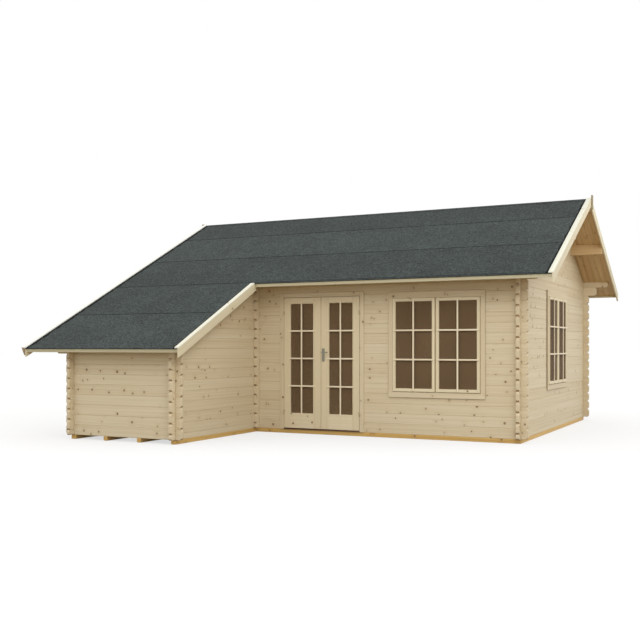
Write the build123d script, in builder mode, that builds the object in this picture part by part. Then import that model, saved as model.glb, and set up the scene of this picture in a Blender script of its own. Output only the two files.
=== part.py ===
"""Log cabin with a low side store under one long roof slope, in millimetres, +Z up.

The walls are stacks of notched logs that lock at every corner. The logs along X start with a
whole log and the logs along Y with half a log, so each log sits in the notches of two others.
The origin is on the ground, under the middle of the roof.
"""

import os
from math import cos, radians, sin, tan

from build123d import *

os.makedirs("parts", exist_ok=True)

# Logs
log_thickness = 44.0
log_height = 133.0
log_gap = 0.4
log_end = 92.0
end_chamfer = 24.0
notch_clearance = 0.4
notch_share = 0.25

# Plan and heights
main_width = 3800.0
main_depth = 4200.0
annex_width = 1658.0
annex_depth = 1980.0
front_courses = 16
door_courses = 14
window_courses = 10
courses_under_window = 4
half_share = 0.5

# Base and floor
base_height = 55.0
base_width = 70.0
joist_width = 60.0
annex_joists = 2
main_joists = 6
floor_thickness = 19.0
seat_clearance = 0.4

# Roof
roof_pitch = 26.3
deck_thickness = 28.0
felt_thickness = 4.0
felt_overhang = 10.0
eave_overhang = 400.0
annex_eave_overhang = 230.0
right_verge = 490.0
left_verge = 574.0
annex_verge = 217.0
fascia_thickness = 20.0
fascia_height = 50.0
verge_thickness = 20.0
verge_depth = 100.0
verge_run_past = 12.0
cap_width = 62.0
cap_thickness = 15.0
purlin_width = 44.0
purlin_height = 140.0
purlin_run_share = 0.5
corbel_long_share = 0.85
corbel_short_share = 0.45

# Door
door_offset = 451.0
door_clear_width = 1163.0
door_lining = 20.0
door_casing = 60.0
casing_thickness = 18.0
door_stop = 20.0
door_stop_depth = 30.0
door_gap = 5.0
leaf_thickness = 44.0
stile_width = 98.0
meeting_stile_width = 116.0
top_rail = 80.0
bottom_rail = 204.0
threshold_height = 16.0
glass_thickness = 5.0
glass_edge = 8.0
glass_clearance = 0.3

# Hinges and handle
hinge_radius = 6.5
hinge_pin_radius = 3.5
hinge_pin_clearance = 0.3
hinge_stand = 8.0
hinge_knuckle = 32.0
hinge_knuckle_gap = 0.5
hinge_tab_width = 14.0
hinge_tab_thickness = 2.5
hinge_height_shares = (0.12, 0.88)
plate_width = 40.0
plate_height = 180.0
plate_thickness = 6.0
plate_corner = 6.0
plate_level = 1007.0
handle_backset = 36.0
lever_drop = 55.0
lever_radius = 8.0
lever_stand = 46.0
lever_reach = 84.0
spindle_radius = 5.0
spindle_clearance = 1.0

# Windows
window_offset = 2076.0
window_width = 1228.0
window_lining = 20.0
window_side_overlap = 45.0
window_head_overlap = 19.0
window_head_drop = 71.0
window_sill_rise = 33.0
window_mullion = 16.0
sash_gap = 0.5
sash_frame = 36.0
sash_thickness = 40.0
sash_proud = 10.0

overrun = 200.0

# Places worked out from the sizes above
slope = tan(radians(roof_pitch))
slope_cos = cos(radians(roof_pitch))
slope_sin = sin(radians(roof_pitch))
half_log = log_height * half_share
roof_build_up = deck_thickness + felt_thickness
cap_top = roof_build_up + cap_thickness
ridge_run = main_depth * half_share
front_reach = ridge_run + eave_overhang
annex_reach = ridge_run + annex_depth + annex_eave_overhang
front_length = front_reach / slope_cos
annex_length = annex_reach / slope_cos
back_length = front_length
tip_front = annex_reach + verge_run_past
tip_back = front_reach + verge_run_past
ridge_y = (tip_front - tip_back) * half_share
front_y = ridge_y - ridge_run
back_y = ridge_y + ridge_run
annex_y = front_y - annex_depth
roof_span = left_verge + annex_width + main_width + right_verge
left_roof_x = -roof_span * half_share
right_roof_x = roof_span * half_share
left_x = left_roof_x + left_verge
inner_x = left_x + annex_width
right_x = inner_x + main_width
annex_roof_x = inner_x + annex_verge
wall_top = base_height + front_courses * log_height + half_log
ridge_z = wall_top + ridge_run * slope
annex_top = wall_top - annex_depth * slope
annex_courses = int((annex_top - base_height) / log_height - half_share)
gable_courses = int((ridge_z - base_height) / log_height) + 1
notch_width = log_thickness + notch_clearance * 2
notch_height = log_height * notch_share * 2


def save(part, name):
    """Labels a finished piece and writes it to its own file."""
    part.label = name
    export_step(part, f"parts/{name}.step")


def log_outline(start, end, bottom, top, shaped_start, shaped_end):
    """Side view of one log, with chamfered corners on the ends that stand proud of a corner."""
    low = bottom + log_gap * half_share
    high = top - log_gap * half_share
    first = min(end_chamfer, (high - low) * notch_share) if shaped_start else 0
    last = min(end_chamfer, (high - low) * notch_share) if shaped_end else 0
    points = [(start + first, low), (end - last, low)]
    if shaped_end:
        points += [(end, low + last), (end, high - last)]
    points += [(end - last, high), (start + first, high)]
    if shaped_start:
        points += [(start, high - first), (start, low + first)]
    return points


def x_levels(first, last):
    """Bottom and top of the logs along X, from course first up to course last."""
    return [
        (base_height + n * log_height, base_height + (n + 1) * log_height)
        for n in range(first, last)
    ]


def y_levels(first, last):
    """Bottom and top of the logs along Y, where course 0 is the half log on the base."""
    edges = [base_height] + [
        base_height + half_log + n * log_height for n in range(gable_courses + 1)
    ]
    return [(edges[n], edges[n + 1]) for n in range(first, last)]


def log_wall(plane, logs, crossings, joints, limit=None):
    """A stack of logs on one plane, notched at each crossing, and cut to the limit's outline."""
    with BuildPart() as wall:
        with BuildSketch(plane):
            for log in logs:
                with BuildLine():
                    Polyline(*log_outline(*log), close=True)
                make_face()
            for crossing in crossings:
                for joint in joints:
                    with Locations((crossing + log_thickness * half_share, joint)):
                        Rectangle(notch_width, notch_height, mode=Mode.SUBTRACT)
            if limit:
                with BuildLine():
                    Polyline(*limit, close=True)
                make_face(mode=Mode.INTERSECT)
        extrude(amount=log_thickness)
    return wall.part


def x_plane(face_y):
    """Plane of a wall along X whose front face is at face_y; extrusions fill its thickness."""
    return Plane((0, face_y + log_thickness, 0), x_dir=(1, 0, 0), z_dir=(0, -1, 0))


def y_plane(face_x):
    """Plane of a wall along Y whose low-X face is at face_x; extrusions fill its thickness."""
    return Plane((face_x, 0, 0), x_dir=(0, 1, 0), z_dir=(1, 0, 0))


def roof_height(y):
    """Height of the underside of the roof boards at y."""
    return ridge_z - abs(y - ridge_y) * slope


x_joints = [base_height + n * log_height for n in range(front_courses + 1)]
y_joints = [base_height + half_log + n * log_height for n in range(gable_courses)]
front_slope = Plane((0, ridge_y, ridge_z), x_dir=(1, 0, 0), z_dir=(0, -slope_sin, slope_cos))
back_slope = Plane((0, ridge_y, ridge_z), x_dir=(-1, 0, 0), z_dir=(0, slope_sin, slope_cos))
ridge_plane = Plane((0, ridge_y, 0), x_dir=(1, 0, 0), z_dir=(0, -1, 0))

# Base beams under the walls
beam_inset = base_width + seat_clearance
with BuildPart() as base_beams:
    with BuildSketch():
        with Locations((left_x, annex_y)):
            Rectangle(base_width, back_y - annex_y, align=(Align.MIN, Align.MIN))
        with Locations((inner_x, annex_y)):
            Rectangle(base_width, annex_depth, align=(Align.MAX, Align.MIN))
        with Locations((right_x, front_y)):
            Rectangle(base_width, main_depth, align=(Align.MAX, Align.MIN))
        with Locations((inner_x - base_width, front_y + seat_clearance)):
            Rectangle(
                main_width + base_width - beam_inset, base_width, align=(Align.MIN, Align.MIN)
            )
        with Locations((left_x + beam_inset, back_y)):
            Rectangle(
                annex_width + main_width - beam_inset * 2,
                base_width,
                align=(Align.MIN, Align.MAX),
            )
    extrude(amount=base_height)
save(base_beams.part, "base_beams")

# Floor joists between the beams, the store's ones running out to its front wall
with BuildPart() as floor_joists:
    annex_step = (annex_width - joist_width) / (annex_joists + 1)
    main_step = (main_width - joist_width) / (main_joists + 1)
    with BuildSketch():
        for n in range(1, annex_joists + 1):
            with Locations((left_x + n * annex_step, annex_y)):
                Rectangle(
                    joist_width,
                    annex_depth + main_depth - beam_inset,
                    align=(Align.MIN, Align.MIN),
                )
        for n in range(1, main_joists + 1):
            with Locations((inner_x + n * main_step, front_y + beam_inset + seat_clearance)):
                Rectangle(
                    joist_width,
                    main_depth - beam_inset * 2 - seat_clearance,
                    align=(Align.MIN, Align.MIN),
                )
    extrude(amount=base_height)
save(floor_joists.part, "floor_joists")

# One floor through the room and the store, cut around the logs of the inner corner
floor_inset = log_thickness + seat_clearance
corner_reach = log_thickness + log_end + seat_clearance
with BuildPart() as floor_boards:
    with BuildSketch(Plane.XY.offset(base_height)):
        with BuildLine():
            Polyline(
                (left_x + floor_inset, annex_y + floor_inset),
                (inner_x - floor_inset, annex_y + floor_inset),
                (inner_x - floor_inset, front_y - seat_clearance),
                (inner_x - corner_reach, front_y - seat_clearance),
                (inner_x - corner_reach, front_y + corner_reach),
                (inner_x + floor_inset, front_y + corner_reach),
                (inner_x + floor_inset, front_y + floor_inset),
                (right_x - floor_inset, front_y + floor_inset),
                (right_x - floor_inset, back_y - floor_inset),
                (left_x + floor_inset, back_y - floor_inset),
                close=True,
            )
        make_face()
    extrude(amount=floor_thickness)
save(floor_boards.part, "floor_boards")

# Front wall, split beside and over the door and the window
door_left = inner_x + door_offset - door_lining
door_right = door_left + door_clear_width + door_lining * 2
window_left = inner_x + window_offset
window_right = window_left + window_width
front_left_end = inner_x - log_thickness - log_end
front_right_end = right_x + log_end
window_top_course = courses_under_window + window_courses
corner_crossings = (inner_x - log_thickness, inner_x)
right_crossing = right_x - log_thickness
left_log_end = left_x - log_end
corbel_right = right_x + (right_verge - verge_thickness) * corbel_long_share
corbel_right_low = right_x + (right_verge - verge_thickness) * corbel_short_share
corbel_left = left_x - (left_verge - verge_thickness) * corbel_long_share
corbel_left_low = left_x - (left_verge - verge_thickness) * corbel_short_share
top_log_height = half_log + log_thickness * slope + log_gap

front_left = [
    (front_left_end, door_left, low, high, True, False)
    for low, high in x_levels(0, door_courses)
]
save(log_wall(x_plane(front_y), front_left, corner_crossings, x_joints), "front_wall_left")

below_window = [
    (door_right, front_right_end, low, high, False, True)
    for low, high in x_levels(0, courses_under_window)
]
save(
    log_wall(x_plane(front_y), below_window, (right_crossing,), x_joints),
    "front_wall_below_window",
)

front_middle = [
    (door_right, window_left, low, high, False, False)
    for low, high in x_levels(courses_under_window, window_top_course)
]
save(log_wall(x_plane(front_y), front_middle, (), x_joints), "front_wall_middle")

front_right = [
    (window_right, front_right_end, low, high, False, True)
    for low, high in x_levels(courses_under_window, window_top_course)
]
save(log_wall(x_plane(front_y), front_right, (right_crossing,), x_joints), "front_wall_right")

roof_cut_front = Plane((0, front_y, wall_top), z_dir=(0, -slope_sin, slope_cos))
roof_cut_back = Plane((0, back_y, wall_top), z_dir=(0, slope_sin, slope_cos))
roof_cut_annex = Plane((0, annex_y, annex_top), z_dir=(0, -slope_sin, slope_cos))


def top_logs(start, end, low_start, low_end, first):
    """The last courses of a long wall: plain ones, a corbel and a longer bevelled top log."""
    plain = [
        (start, end, low, high, True, True) for low, high in x_levels(first, front_courses - 1)
    ]
    corbel_low, corbel_high = x_levels(front_courses - 1, front_courses)[0]
    corbel = (low_start, low_end, corbel_low, corbel_high, True, True)
    top = (corbel_left, corbel_right, corbel_high, corbel_high + top_log_height, True, True)
    return [*plain, corbel, top]


# The two top logs run on over the store to the left wall
with BuildPart() as front_wall_top:
    add(
        log_wall(
            x_plane(front_y),
            top_logs(
                front_left_end, front_right_end, corbel_left_low, corbel_right_low, door_courses
            ),
            (*corner_crossings, right_crossing, left_x),
            x_joints,
        )
    )
    split(bisect_by=roof_cut_front, keep=Keep.BOTTOM)
save(front_wall_top.part, "front_wall_top")

with BuildPart() as back_wall:
    add(
        log_wall(
            x_plane(back_y - log_thickness),
            top_logs(left_log_end, front_right_end, corbel_left_low, corbel_right_low, 0),
            (left_x, right_crossing),
            x_joints,
        )
    )
    split(bisect_by=roof_cut_back, keep=Keep.BOTTOM)
save(back_wall.part, "back_wall")

# The store's front wall, its top log bevelled to the roof and run out on the left
annex_right_end = inner_x + log_end
annex_base = base_height + annex_courses * log_height
annex_logs = [
    (left_log_end, annex_right_end, low, high, True, True)
    for low, high in x_levels(0, annex_courses)
]
annex_top_log = (
    corbel_left_low,
    annex_right_end,
    annex_base,
    annex_top + log_thickness * slope + log_gap,
    True,
    True,
)
with BuildPart() as annex_front_wall:
    add(
        log_wall(
            x_plane(annex_y),
            [*annex_logs, annex_top_log],
            (left_x, inner_x - log_thickness),
            x_joints[: annex_courses + 2],
        )
    )
    split(bisect_by=roof_cut_annex, keep=Keep.BOTTOM)
save(annex_front_wall.part, "annex_front_wall")

# Outlines under the roof that the logs along Y are cut to, with room for the purlins
gable_low_front = annex_y - log_end
gable_low_back = back_y + log_end
gable_limit = [
    (gable_low_front, 0),
    (gable_low_back, 0),
    (gable_low_back, roof_height(gable_low_back)),
    (ridge_y, ridge_z),
    (gable_low_front, roof_height(gable_low_front)),
]
purlin_run = ridge_run * purlin_run_share
purlin_places = (ridge_y - purlin_run, ridge_y, ridge_y + purlin_run)


def purlin_outline(middle):
    """End view of a purlin whose top is cut to the roof."""
    half = purlin_width * half_share
    bottom = roof_height(middle) - purlin_height
    return [
        (middle - half, bottom),
        (middle + half, bottom),
        (middle + half, roof_height(middle + half)),
        (middle, roof_height(middle)),
        (middle - half, roof_height(middle - half)),
    ]


def gable_wall(face_x, logs, crossings, joints):
    """A log wall along Y under both slopes, with slots where the purlins pass."""
    with BuildPart() as gable:
        add(log_wall(y_plane(face_x), logs, crossings, joints, gable_limit))
        with BuildSketch(y_plane(face_x)):
            for middle in purlin_places:
                slot_height = purlin_height + overrun
                low = roof_height(middle) - purlin_height - seat_clearance
                with Locations((middle, low)):
                    Rectangle(
                        purlin_width + seat_clearance * 2,
                        slot_height,
                        align=(Align.CENTER, Align.MIN),
                    )
        extrude(amount=log_thickness, mode=Mode.SUBTRACT)
    return gable.part


outer_crossings = (front_y, back_y - log_thickness)
side_bottom_course = courses_under_window + 1
side_top_course = side_bottom_course + window_courses
side_window_middle = front_y + main_depth * half_share
side_window_front = side_window_middle - window_width * half_share
side_window_back = side_window_middle + window_width * half_share
side_front_end = front_y - log_end
side_back_end = back_y + log_end

side_below = [
    (side_front_end, side_back_end, low, high, True, True)
    for low, high in y_levels(0, side_bottom_course)
]
save(
    gable_wall(right_crossing, side_below, outer_crossings, y_joints), "right_wall_below_window"
)

side_front = [
    (side_front_end, side_window_front, low, high, True, False)
    for low, high in y_levels(side_bottom_course, side_top_course)
]
save(gable_wall(right_crossing, side_front, outer_crossings, y_joints), "right_wall_front")

side_back = [
    (side_window_back, side_back_end, low, high, False, True)
    for low, high in y_levels(side_bottom_course, side_top_course)
]
save(gable_wall(right_crossing, side_back, outer_crossings, y_joints), "right_wall_back")

side_gable = [
    (side_front_end, side_back_end, low, high, True, True)
    for low, high in y_levels(side_top_course, gable_courses + 1)
]
save(gable_wall(right_crossing, side_gable, outer_crossings, y_joints), "right_gable")

# The left wall follows the long slope down to the store's front wall
tie_joints = y_joints[front_courses - 1 :]
left_logs = [
    (gable_low_front, gable_low_back, low, high, True, True)
    for low, high in y_levels(0, gable_courses + 1)
]
with BuildPart() as left_wall:
    add(gable_wall(left_x, left_logs, (back_y - log_thickness, annex_y), y_joints))
    with BuildSketch(y_plane(left_x)):
        for joint in tie_joints:
            with Locations((front_y + log_thickness * half_share, joint)):
                Rectangle(notch_width, notch_height)
    extrude(amount=log_thickness, mode=Mode.SUBTRACT)
save(left_wall.part, "left_wall")

corner_back = front_y + log_thickness + log_end
annex_side = [
    (gable_low_front, corner_back, low, high, True, True)
    for low, high in y_levels(0, front_courses + 1)
]
save(
    log_wall(
        y_plane(inner_x - log_thickness), annex_side, (annex_y, front_y), y_joints, gable_limit
    ),
    "annex_right_wall",
)

# Short cross logs that lock the front wall at the inner corner
corner_logs = [
    (side_front_end, corner_back, low, high, True, True)
    for low, high in y_levels(0, front_courses + 1)
]
save(
    log_wall(
        y_plane(inner_x + seat_clearance), corner_logs, (front_y,), y_joints, gable_limit
    ),
    "inner_corner_log_ends",
)

# Purlins between the verge boards
purlin_start = left_roof_x + verge_thickness + seat_clearance
purlin_length = roof_span - (verge_thickness + seat_clearance) * 2
with BuildPart() as purlins:
    with BuildSketch(Plane((purlin_start, 0, 0), x_dir=(0, 1, 0), z_dir=(1, 0, 0))):
        for middle in purlin_places:
            with BuildLine():
                Polyline(*purlin_outline(middle), close=True)
            make_face()
    extrude(amount=purlin_length)
save(purlins.part, "purlins")

# Roof boards and felt, each slope cut upright at the ridge
verge_inset = verge_thickness + seat_clearance
fascia_inset = fascia_thickness + seat_clearance


def front_cover(left, right, annex_right, length, annex_end, base, thickness):
    """The front slope: a wide stretch over the room and a narrow one down over the store."""
    with BuildPart() as cover:
        with BuildSketch(front_slope.offset(base)):
            with BuildLine():
                Polyline(
                    (left, overrun),
                    (right, overrun),
                    (right, -length),
                    (annex_right, -length),
                    (annex_right, -annex_end),
                    (left, -annex_end),
                    close=True,
                )
            make_face()
        extrude(amount=thickness)
        split(bisect_by=ridge_plane.offset(seat_clearance * half_share), keep=Keep.TOP)
    return cover.part


def back_cover(left, right, length, base, thickness):
    """The back slope as one plain sheet."""
    with BuildPart() as cover:
        with BuildSketch(back_slope.offset(base)):
            with BuildLine():
                Polyline(
                    (-left, overrun),
                    (-right, overrun),
                    (-right, -length),
                    (-left, -length),
                    close=True,
                )
            make_face()
        extrude(amount=thickness)
        split(bisect_by=ridge_plane.offset(-seat_clearance * half_share), keep=Keep.BOTTOM)
    return cover.part


deck_left = left_roof_x + verge_inset
deck_right = right_roof_x - verge_inset
deck_annex = annex_roof_x - verge_inset
save(
    front_cover(
        deck_left,
        deck_right,
        deck_annex,
        front_length - fascia_inset,
        annex_length - fascia_inset,
        0,
        deck_thickness,
    ),
    "roof_boards_front",
)
save(
    back_cover(deck_left, deck_right, back_length - fascia_inset, 0, deck_thickness),
    "roof_boards_back",
)
save(
    front_cover(
        left_roof_x,
        deck_right,
        deck_annex,
        front_length + felt_overhang,
        annex_length + felt_overhang,
        deck_thickness,
        felt_thickness,
    ),
    "roof_felt_front",
)
save(
    back_cover(left_roof_x, deck_right, back_length + felt_overhang, deck_thickness, felt_thickness),
    "roof_felt_back",
)

# Eave fascias on the ends of the roof boards
fascia_low = deck_thickness - fascia_height
with BuildPart() as eave_fascias:
    with BuildSketch(front_slope.offset(fascia_low)):
        with Locations((deck_annex + seat_clearance, -front_length)):
            Rectangle(
                deck_right - deck_annex - seat_clearance,
                fascia_thickness,
                align=(Align.MIN, Align.MIN),
            )
        with Locations((deck_left, -annex_length)):
            Rectangle(deck_annex - deck_left, fascia_thickness, align=(Align.MIN, Align.MIN))
    extrude(amount=fascia_height)
    with BuildSketch(back_slope.offset(fascia_low)):
        with Locations((-deck_right, -back_length)):
            Rectangle(deck_right - deck_left, fascia_thickness, align=(Align.MIN, Align.MIN))
    extrude(amount=fascia_height)
save(eave_fascias.part, "eave_fascias")


def verge_boards(plane, outer, inward, top, tip, capped):
    """A bargeboard down one slope, under a cap strip or under the felt, cut upright at both ends."""
    align = (Align.MIN if inward > 0 else Align.MAX, Align.MIN)
    length = abs(tip - ridge_y) / slope_cos + overrun
    board_top = (roof_build_up if capped else deck_thickness) - seat_clearance
    with BuildPart() as verge:
        with BuildSketch(plane.offset(roof_build_up - verge_depth)):
            with Locations((outer, -length)):
                Rectangle(verge_thickness, length - top, align=align)
        extrude(amount=board_top - roof_build_up + verge_depth)
        if capped:
            with BuildSketch(plane.offset(roof_build_up)):
                with Locations((outer, -length)):
                    Rectangle(cap_width, length - top, align=align)
            extrude(amount=cap_thickness)
        if tip < ridge_y:
            split(bisect_by=Plane.XZ.offset(-tip), keep=Keep.BOTTOM)
            split(bisect_by=ridge_plane.offset(ridge_shift), keep=Keep.TOP)
        else:
            split(bisect_by=Plane.XZ.offset(-tip), keep=Keep.TOP)
            split(bisect_by=ridge_plane.offset(-ridge_shift), keep=Keep.BOTTOM)
    return verge.part


ridge_shift = seat_clearance * half_share
store_tip = ridge_y - tip_front
room_tip = ridge_y - tip_back
rear_tip = ridge_y + tip_back
with BuildPart() as right_verge_boards:
    add(verge_boards(front_slope, right_roof_x, -1, -overrun, room_tip, True))
    add(verge_boards(back_slope, -right_roof_x, 1, -overrun, rear_tip, True))
save(right_verge_boards.part, "right_verge_boards")

with BuildPart() as left_verge_boards:
    add(verge_boards(front_slope, left_roof_x, 1, -overrun, store_tip, False))
    add(verge_boards(back_slope, -left_roof_x, -1, -overrun, rear_tip, False))
save(left_verge_boards.part, "left_verge_boards")

annex_verge_top = front_length + felt_overhang + seat_clearance
annex_verge_part = verge_boards(front_slope, annex_roof_x, -1, annex_verge_top, store_tip, True)
save(annex_verge_part, "annex_verge_boards")

# Door frame, in plan: lining through the wall, casings on both faces and a stop behind the leaves
door_top = base_height + door_courses * log_height
door_head = door_top - door_lining
frame_front = front_y - casing_thickness
frame_back = front_y + log_thickness + casing_thickness
casing_top = door_head + door_casing
leaf_back = frame_front + leaf_thickness
stop_front = frame_back - door_stop_depth


clear_left = inner_x + door_offset
clear_right = clear_left + door_clear_width
inside_face = front_y + log_thickness + seat_clearance
casing_depth = casing_thickness - seat_clearance
frame_depth = frame_back - frame_front
for jamb_name, clear_x, side in (("left", clear_left, -1), ("right", clear_right, 1)):
    outward = (Align.MAX if side < 0 else Align.MIN, Align.MIN)
    inward = (Align.MIN if side < 0 else Align.MAX, Align.MIN)
    with BuildPart() as jamb:
        with BuildSketch(Plane.XY.offset(base_height)):
            with Locations((clear_x, frame_front)):
                Rectangle(door_lining - seat_clearance, frame_depth, align=outward)
        extrude(amount=door_top - seat_clearance - base_height)
        with BuildSketch(Plane.XY.offset(base_height)):
            with Locations((clear_x, frame_front), (clear_x, inside_face)):
                Rectangle(door_casing, casing_depth, align=outward)
        extrude(amount=casing_top - base_height)
        with BuildSketch(Plane.XY.offset(base_height)):
            with Locations((clear_x, stop_front)):
                Rectangle(door_stop, door_stop_depth, align=inward)
        extrude(amount=door_head - base_height)
        with BuildSketch(Plane.XY.offset(base_height)):
            with Locations((clear_x, front_y + log_thickness)):
                Rectangle(overrun, overrun, align=(Align.CENTER, Align.MIN))
        extrude(amount=floor_thickness + seat_clearance, mode=Mode.SUBTRACT)
    save(jamb.part, f"door_{jamb_name}_jamb")

with BuildPart() as door_head_piece:
    with BuildSketch(Plane.XY.offset(door_head)):
        with Locations((clear_left, frame_front)):
            Rectangle(door_clear_width, frame_depth, align=(Align.MIN, Align.MIN))
    extrude(amount=door_lining - seat_clearance)
    with BuildSketch(Plane.XY.offset(door_head)):
        with Locations((clear_left, frame_front), (clear_left, inside_face)):
            Rectangle(door_clear_width, casing_depth, align=(Align.MIN, Align.MIN))
    extrude(amount=door_casing)
    with BuildSketch(Plane.XY.offset(door_head - door_stop)):
        with Locations((clear_left + door_stop + seat_clearance, stop_front)):
            Rectangle(
                door_clear_width - (door_stop + seat_clearance) * 2,
                door_stop_depth,
                align=(Align.MIN, Align.MIN),
            )
    extrude(amount=door_stop)
save(door_head_piece.part, "door_head")

with BuildPart() as door_threshold:
    with BuildSketch(Plane.XY.offset(base_height)):
        with Locations((clear_left + seat_clearance, frame_front)):
            Rectangle(
                door_clear_width - seat_clearance * 2,
                stop_front - frame_front - seat_clearance,
                align=(Align.MIN, Align.MIN),
            )
    extrude(amount=threshold_height)
save(door_threshold.part, "door_threshold")

# Door leaves: a glazed frame each, hung on its outer edge
leaf_bottom = base_height + threshold_height + door_gap
leaf_height = door_head - door_gap - leaf_bottom
leaf_width = (door_clear_width - door_gap * 3) * half_share
light_width = leaf_width - stile_width - meeting_stile_width
light_height = leaf_height - top_rail - bottom_rail
light_bottom = leaf_bottom + bottom_rail
glass_middle = frame_front + leaf_thickness * half_share
leaf_starts = {
    "left": clear_left + door_gap,
    "right": clear_left + door_gap * 2 + leaf_width,
}
handle_x = leaf_starts["right"] + handle_backset
lever_z = plate_level + plate_height - lever_drop
groove_thickness = glass_thickness + glass_clearance * 2
groove_back = glass_middle + groove_thickness * half_share
glass_back = glass_middle + glass_thickness * half_share


def facing(y):
    """Plane at y that looks to the front, so its extrusions come forward."""
    return Plane((0, y, 0), x_dir=(1, 0, 0), z_dir=(0, -1, 0))


for side_name, start in leaf_starts.items():
    light_left = start + (stile_width if side_name == "left" else meeting_stile_width)
    with BuildPart() as leaf:
        with BuildSketch(facing(leaf_back)):
            with Locations((start, leaf_bottom)):
                Rectangle(leaf_width, leaf_height, align=(Align.MIN, Align.MIN))
            with Locations((light_left, light_bottom)):
                Rectangle(
                    light_width, light_height, align=(Align.MIN, Align.MIN), mode=Mode.SUBTRACT
                )
            if side_name == "right":
                with Locations((handle_x, lever_z)):
                    Circle(spindle_radius + spindle_clearance, mode=Mode.SUBTRACT)
        extrude(amount=leaf_thickness)
        with BuildSketch(facing(groove_back)):
            groove = glass_edge + glass_clearance
            with Locations((light_left - groove, light_bottom - groove)):
                Rectangle(
                    light_width + groove * 2,
                    light_height + groove * 2,
                    align=(Align.MIN, Align.MIN),
                )
        extrude(amount=groove_thickness, mode=Mode.SUBTRACT)
    save(leaf.part, f"{side_name}_door_leaf")
    with BuildPart() as pane:
        with BuildSketch(facing(glass_back)):
            with Locations((light_left - glass_edge, light_bottom - glass_edge)):
                Rectangle(
                    light_width + glass_edge * 2,
                    light_height + glass_edge * 2,
                    align=(Align.MIN, Align.MIN),
                )
        extrude(amount=glass_thickness)
    save(pane.part, f"{side_name}_door_glass")

# Lift-off hinges: a pin on the jamb under a knuckle on the leaf
hinge_y = frame_front - hinge_stand
hinge_levels = [leaf_bottom + leaf_height * share for share in hinge_height_shares]
hinge_places = {
    "left": (clear_left + door_gap * half_share, -1),
    "right": (clear_right - door_gap * half_share, 1),
}


def hinge_tab(axis_x, side, level):
    """Plan of the flat tab from a knuckle onto the wood beside it, at the given level."""
    with BuildPart() as tab:
        with BuildSketch(Plane.XY.offset(level)):
            with Locations((axis_x, frame_front)):
                Rectangle(
                    hinge_tab_width,
                    hinge_tab_thickness,
                    align=(Align.MIN if side > 0 else Align.MAX, Align.MAX),
                )
        extrude(amount=hinge_knuckle)
    return tab.part


with BuildPart() as door_hinge_pins:
    for axis_x, side in hinge_places.values():
        for level in hinge_levels:
            low = level - hinge_knuckle
            with BuildSketch(Plane.XY.offset(low)):
                with Locations((axis_x, hinge_y)):
                    Circle(hinge_radius)
            extrude(amount=hinge_knuckle - hinge_knuckle_gap)
            with BuildSketch(Plane.XY.offset(low)):
                with Locations((axis_x, hinge_y)):
                    Circle(hinge_pin_radius)
            extrude(amount=hinge_knuckle * 2 - hinge_knuckle_gap * 2)
            add(hinge_tab(axis_x, side, low - hinge_knuckle_gap))
save(door_hinge_pins.part, "door_hinge_pins")

for side_name, (axis_x, side) in hinge_places.items():
    with BuildPart() as knuckles:
        for level in hinge_levels:
            with BuildSketch(Plane.XY.offset(level)):
                with Locations((axis_x, hinge_y)):
                    Circle(hinge_radius)
            extrude(amount=hinge_knuckle)
            add(hinge_tab(axis_x, -side, level))
        for level in hinge_levels:
            with BuildSketch(Plane.XY.offset(level)):
                with Locations((axis_x, hinge_y)):
                    Circle(hinge_pin_radius + hinge_pin_clearance)
            extrude(amount=hinge_knuckle, mode=Mode.SUBTRACT)
    save(knuckles.part, f"{side_name}_door_hinges")

# Handle: a plate on each face of the right leaf and two levers on one spindle
with BuildPart() as door_handle_plates:
    for face_y in (frame_front, leaf_back + plate_thickness):
        with BuildSketch(facing(face_y)):
            with Locations((handle_x, plate_level)):
                Rectangle(plate_width, plate_height, align=(Align.CENTER, Align.MIN))
            with Locations((handle_x, lever_z)):
                Circle(spindle_radius + spindle_clearance, mode=Mode.SUBTRACT)
        extrude(amount=plate_thickness)
    chamfer(door_handle_plates.edges().filter_by(Axis.Y).filter_by(GeomType.LINE), plate_corner)
save(door_handle_plates.part, "door_handle_plates")

lever_front = frame_front - plate_thickness - lever_stand
lever_back = leaf_back + plate_thickness + lever_stand
with BuildPart() as door_lever:
    with BuildSketch(facing(lever_back)):
        with Locations((handle_x, lever_z)):
            Circle(spindle_radius)
    extrude(amount=lever_back - lever_front)
    for grip_y in (lever_front, lever_back):
        with BuildSketch(Plane((handle_x, grip_y, lever_z), x_dir=(0, 1, 0), z_dir=(1, 0, 0))):
            Circle(lever_radius)
        extrude(amount=lever_reach)
        with BuildSketch(Plane((handle_x, grip_y, lever_z), x_dir=(0, 1, 0), z_dir=(1, 0, 0))):
            Circle(lever_radius)
        extrude(amount=-lever_radius)
save(door_lever.part, "door_lever")


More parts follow.
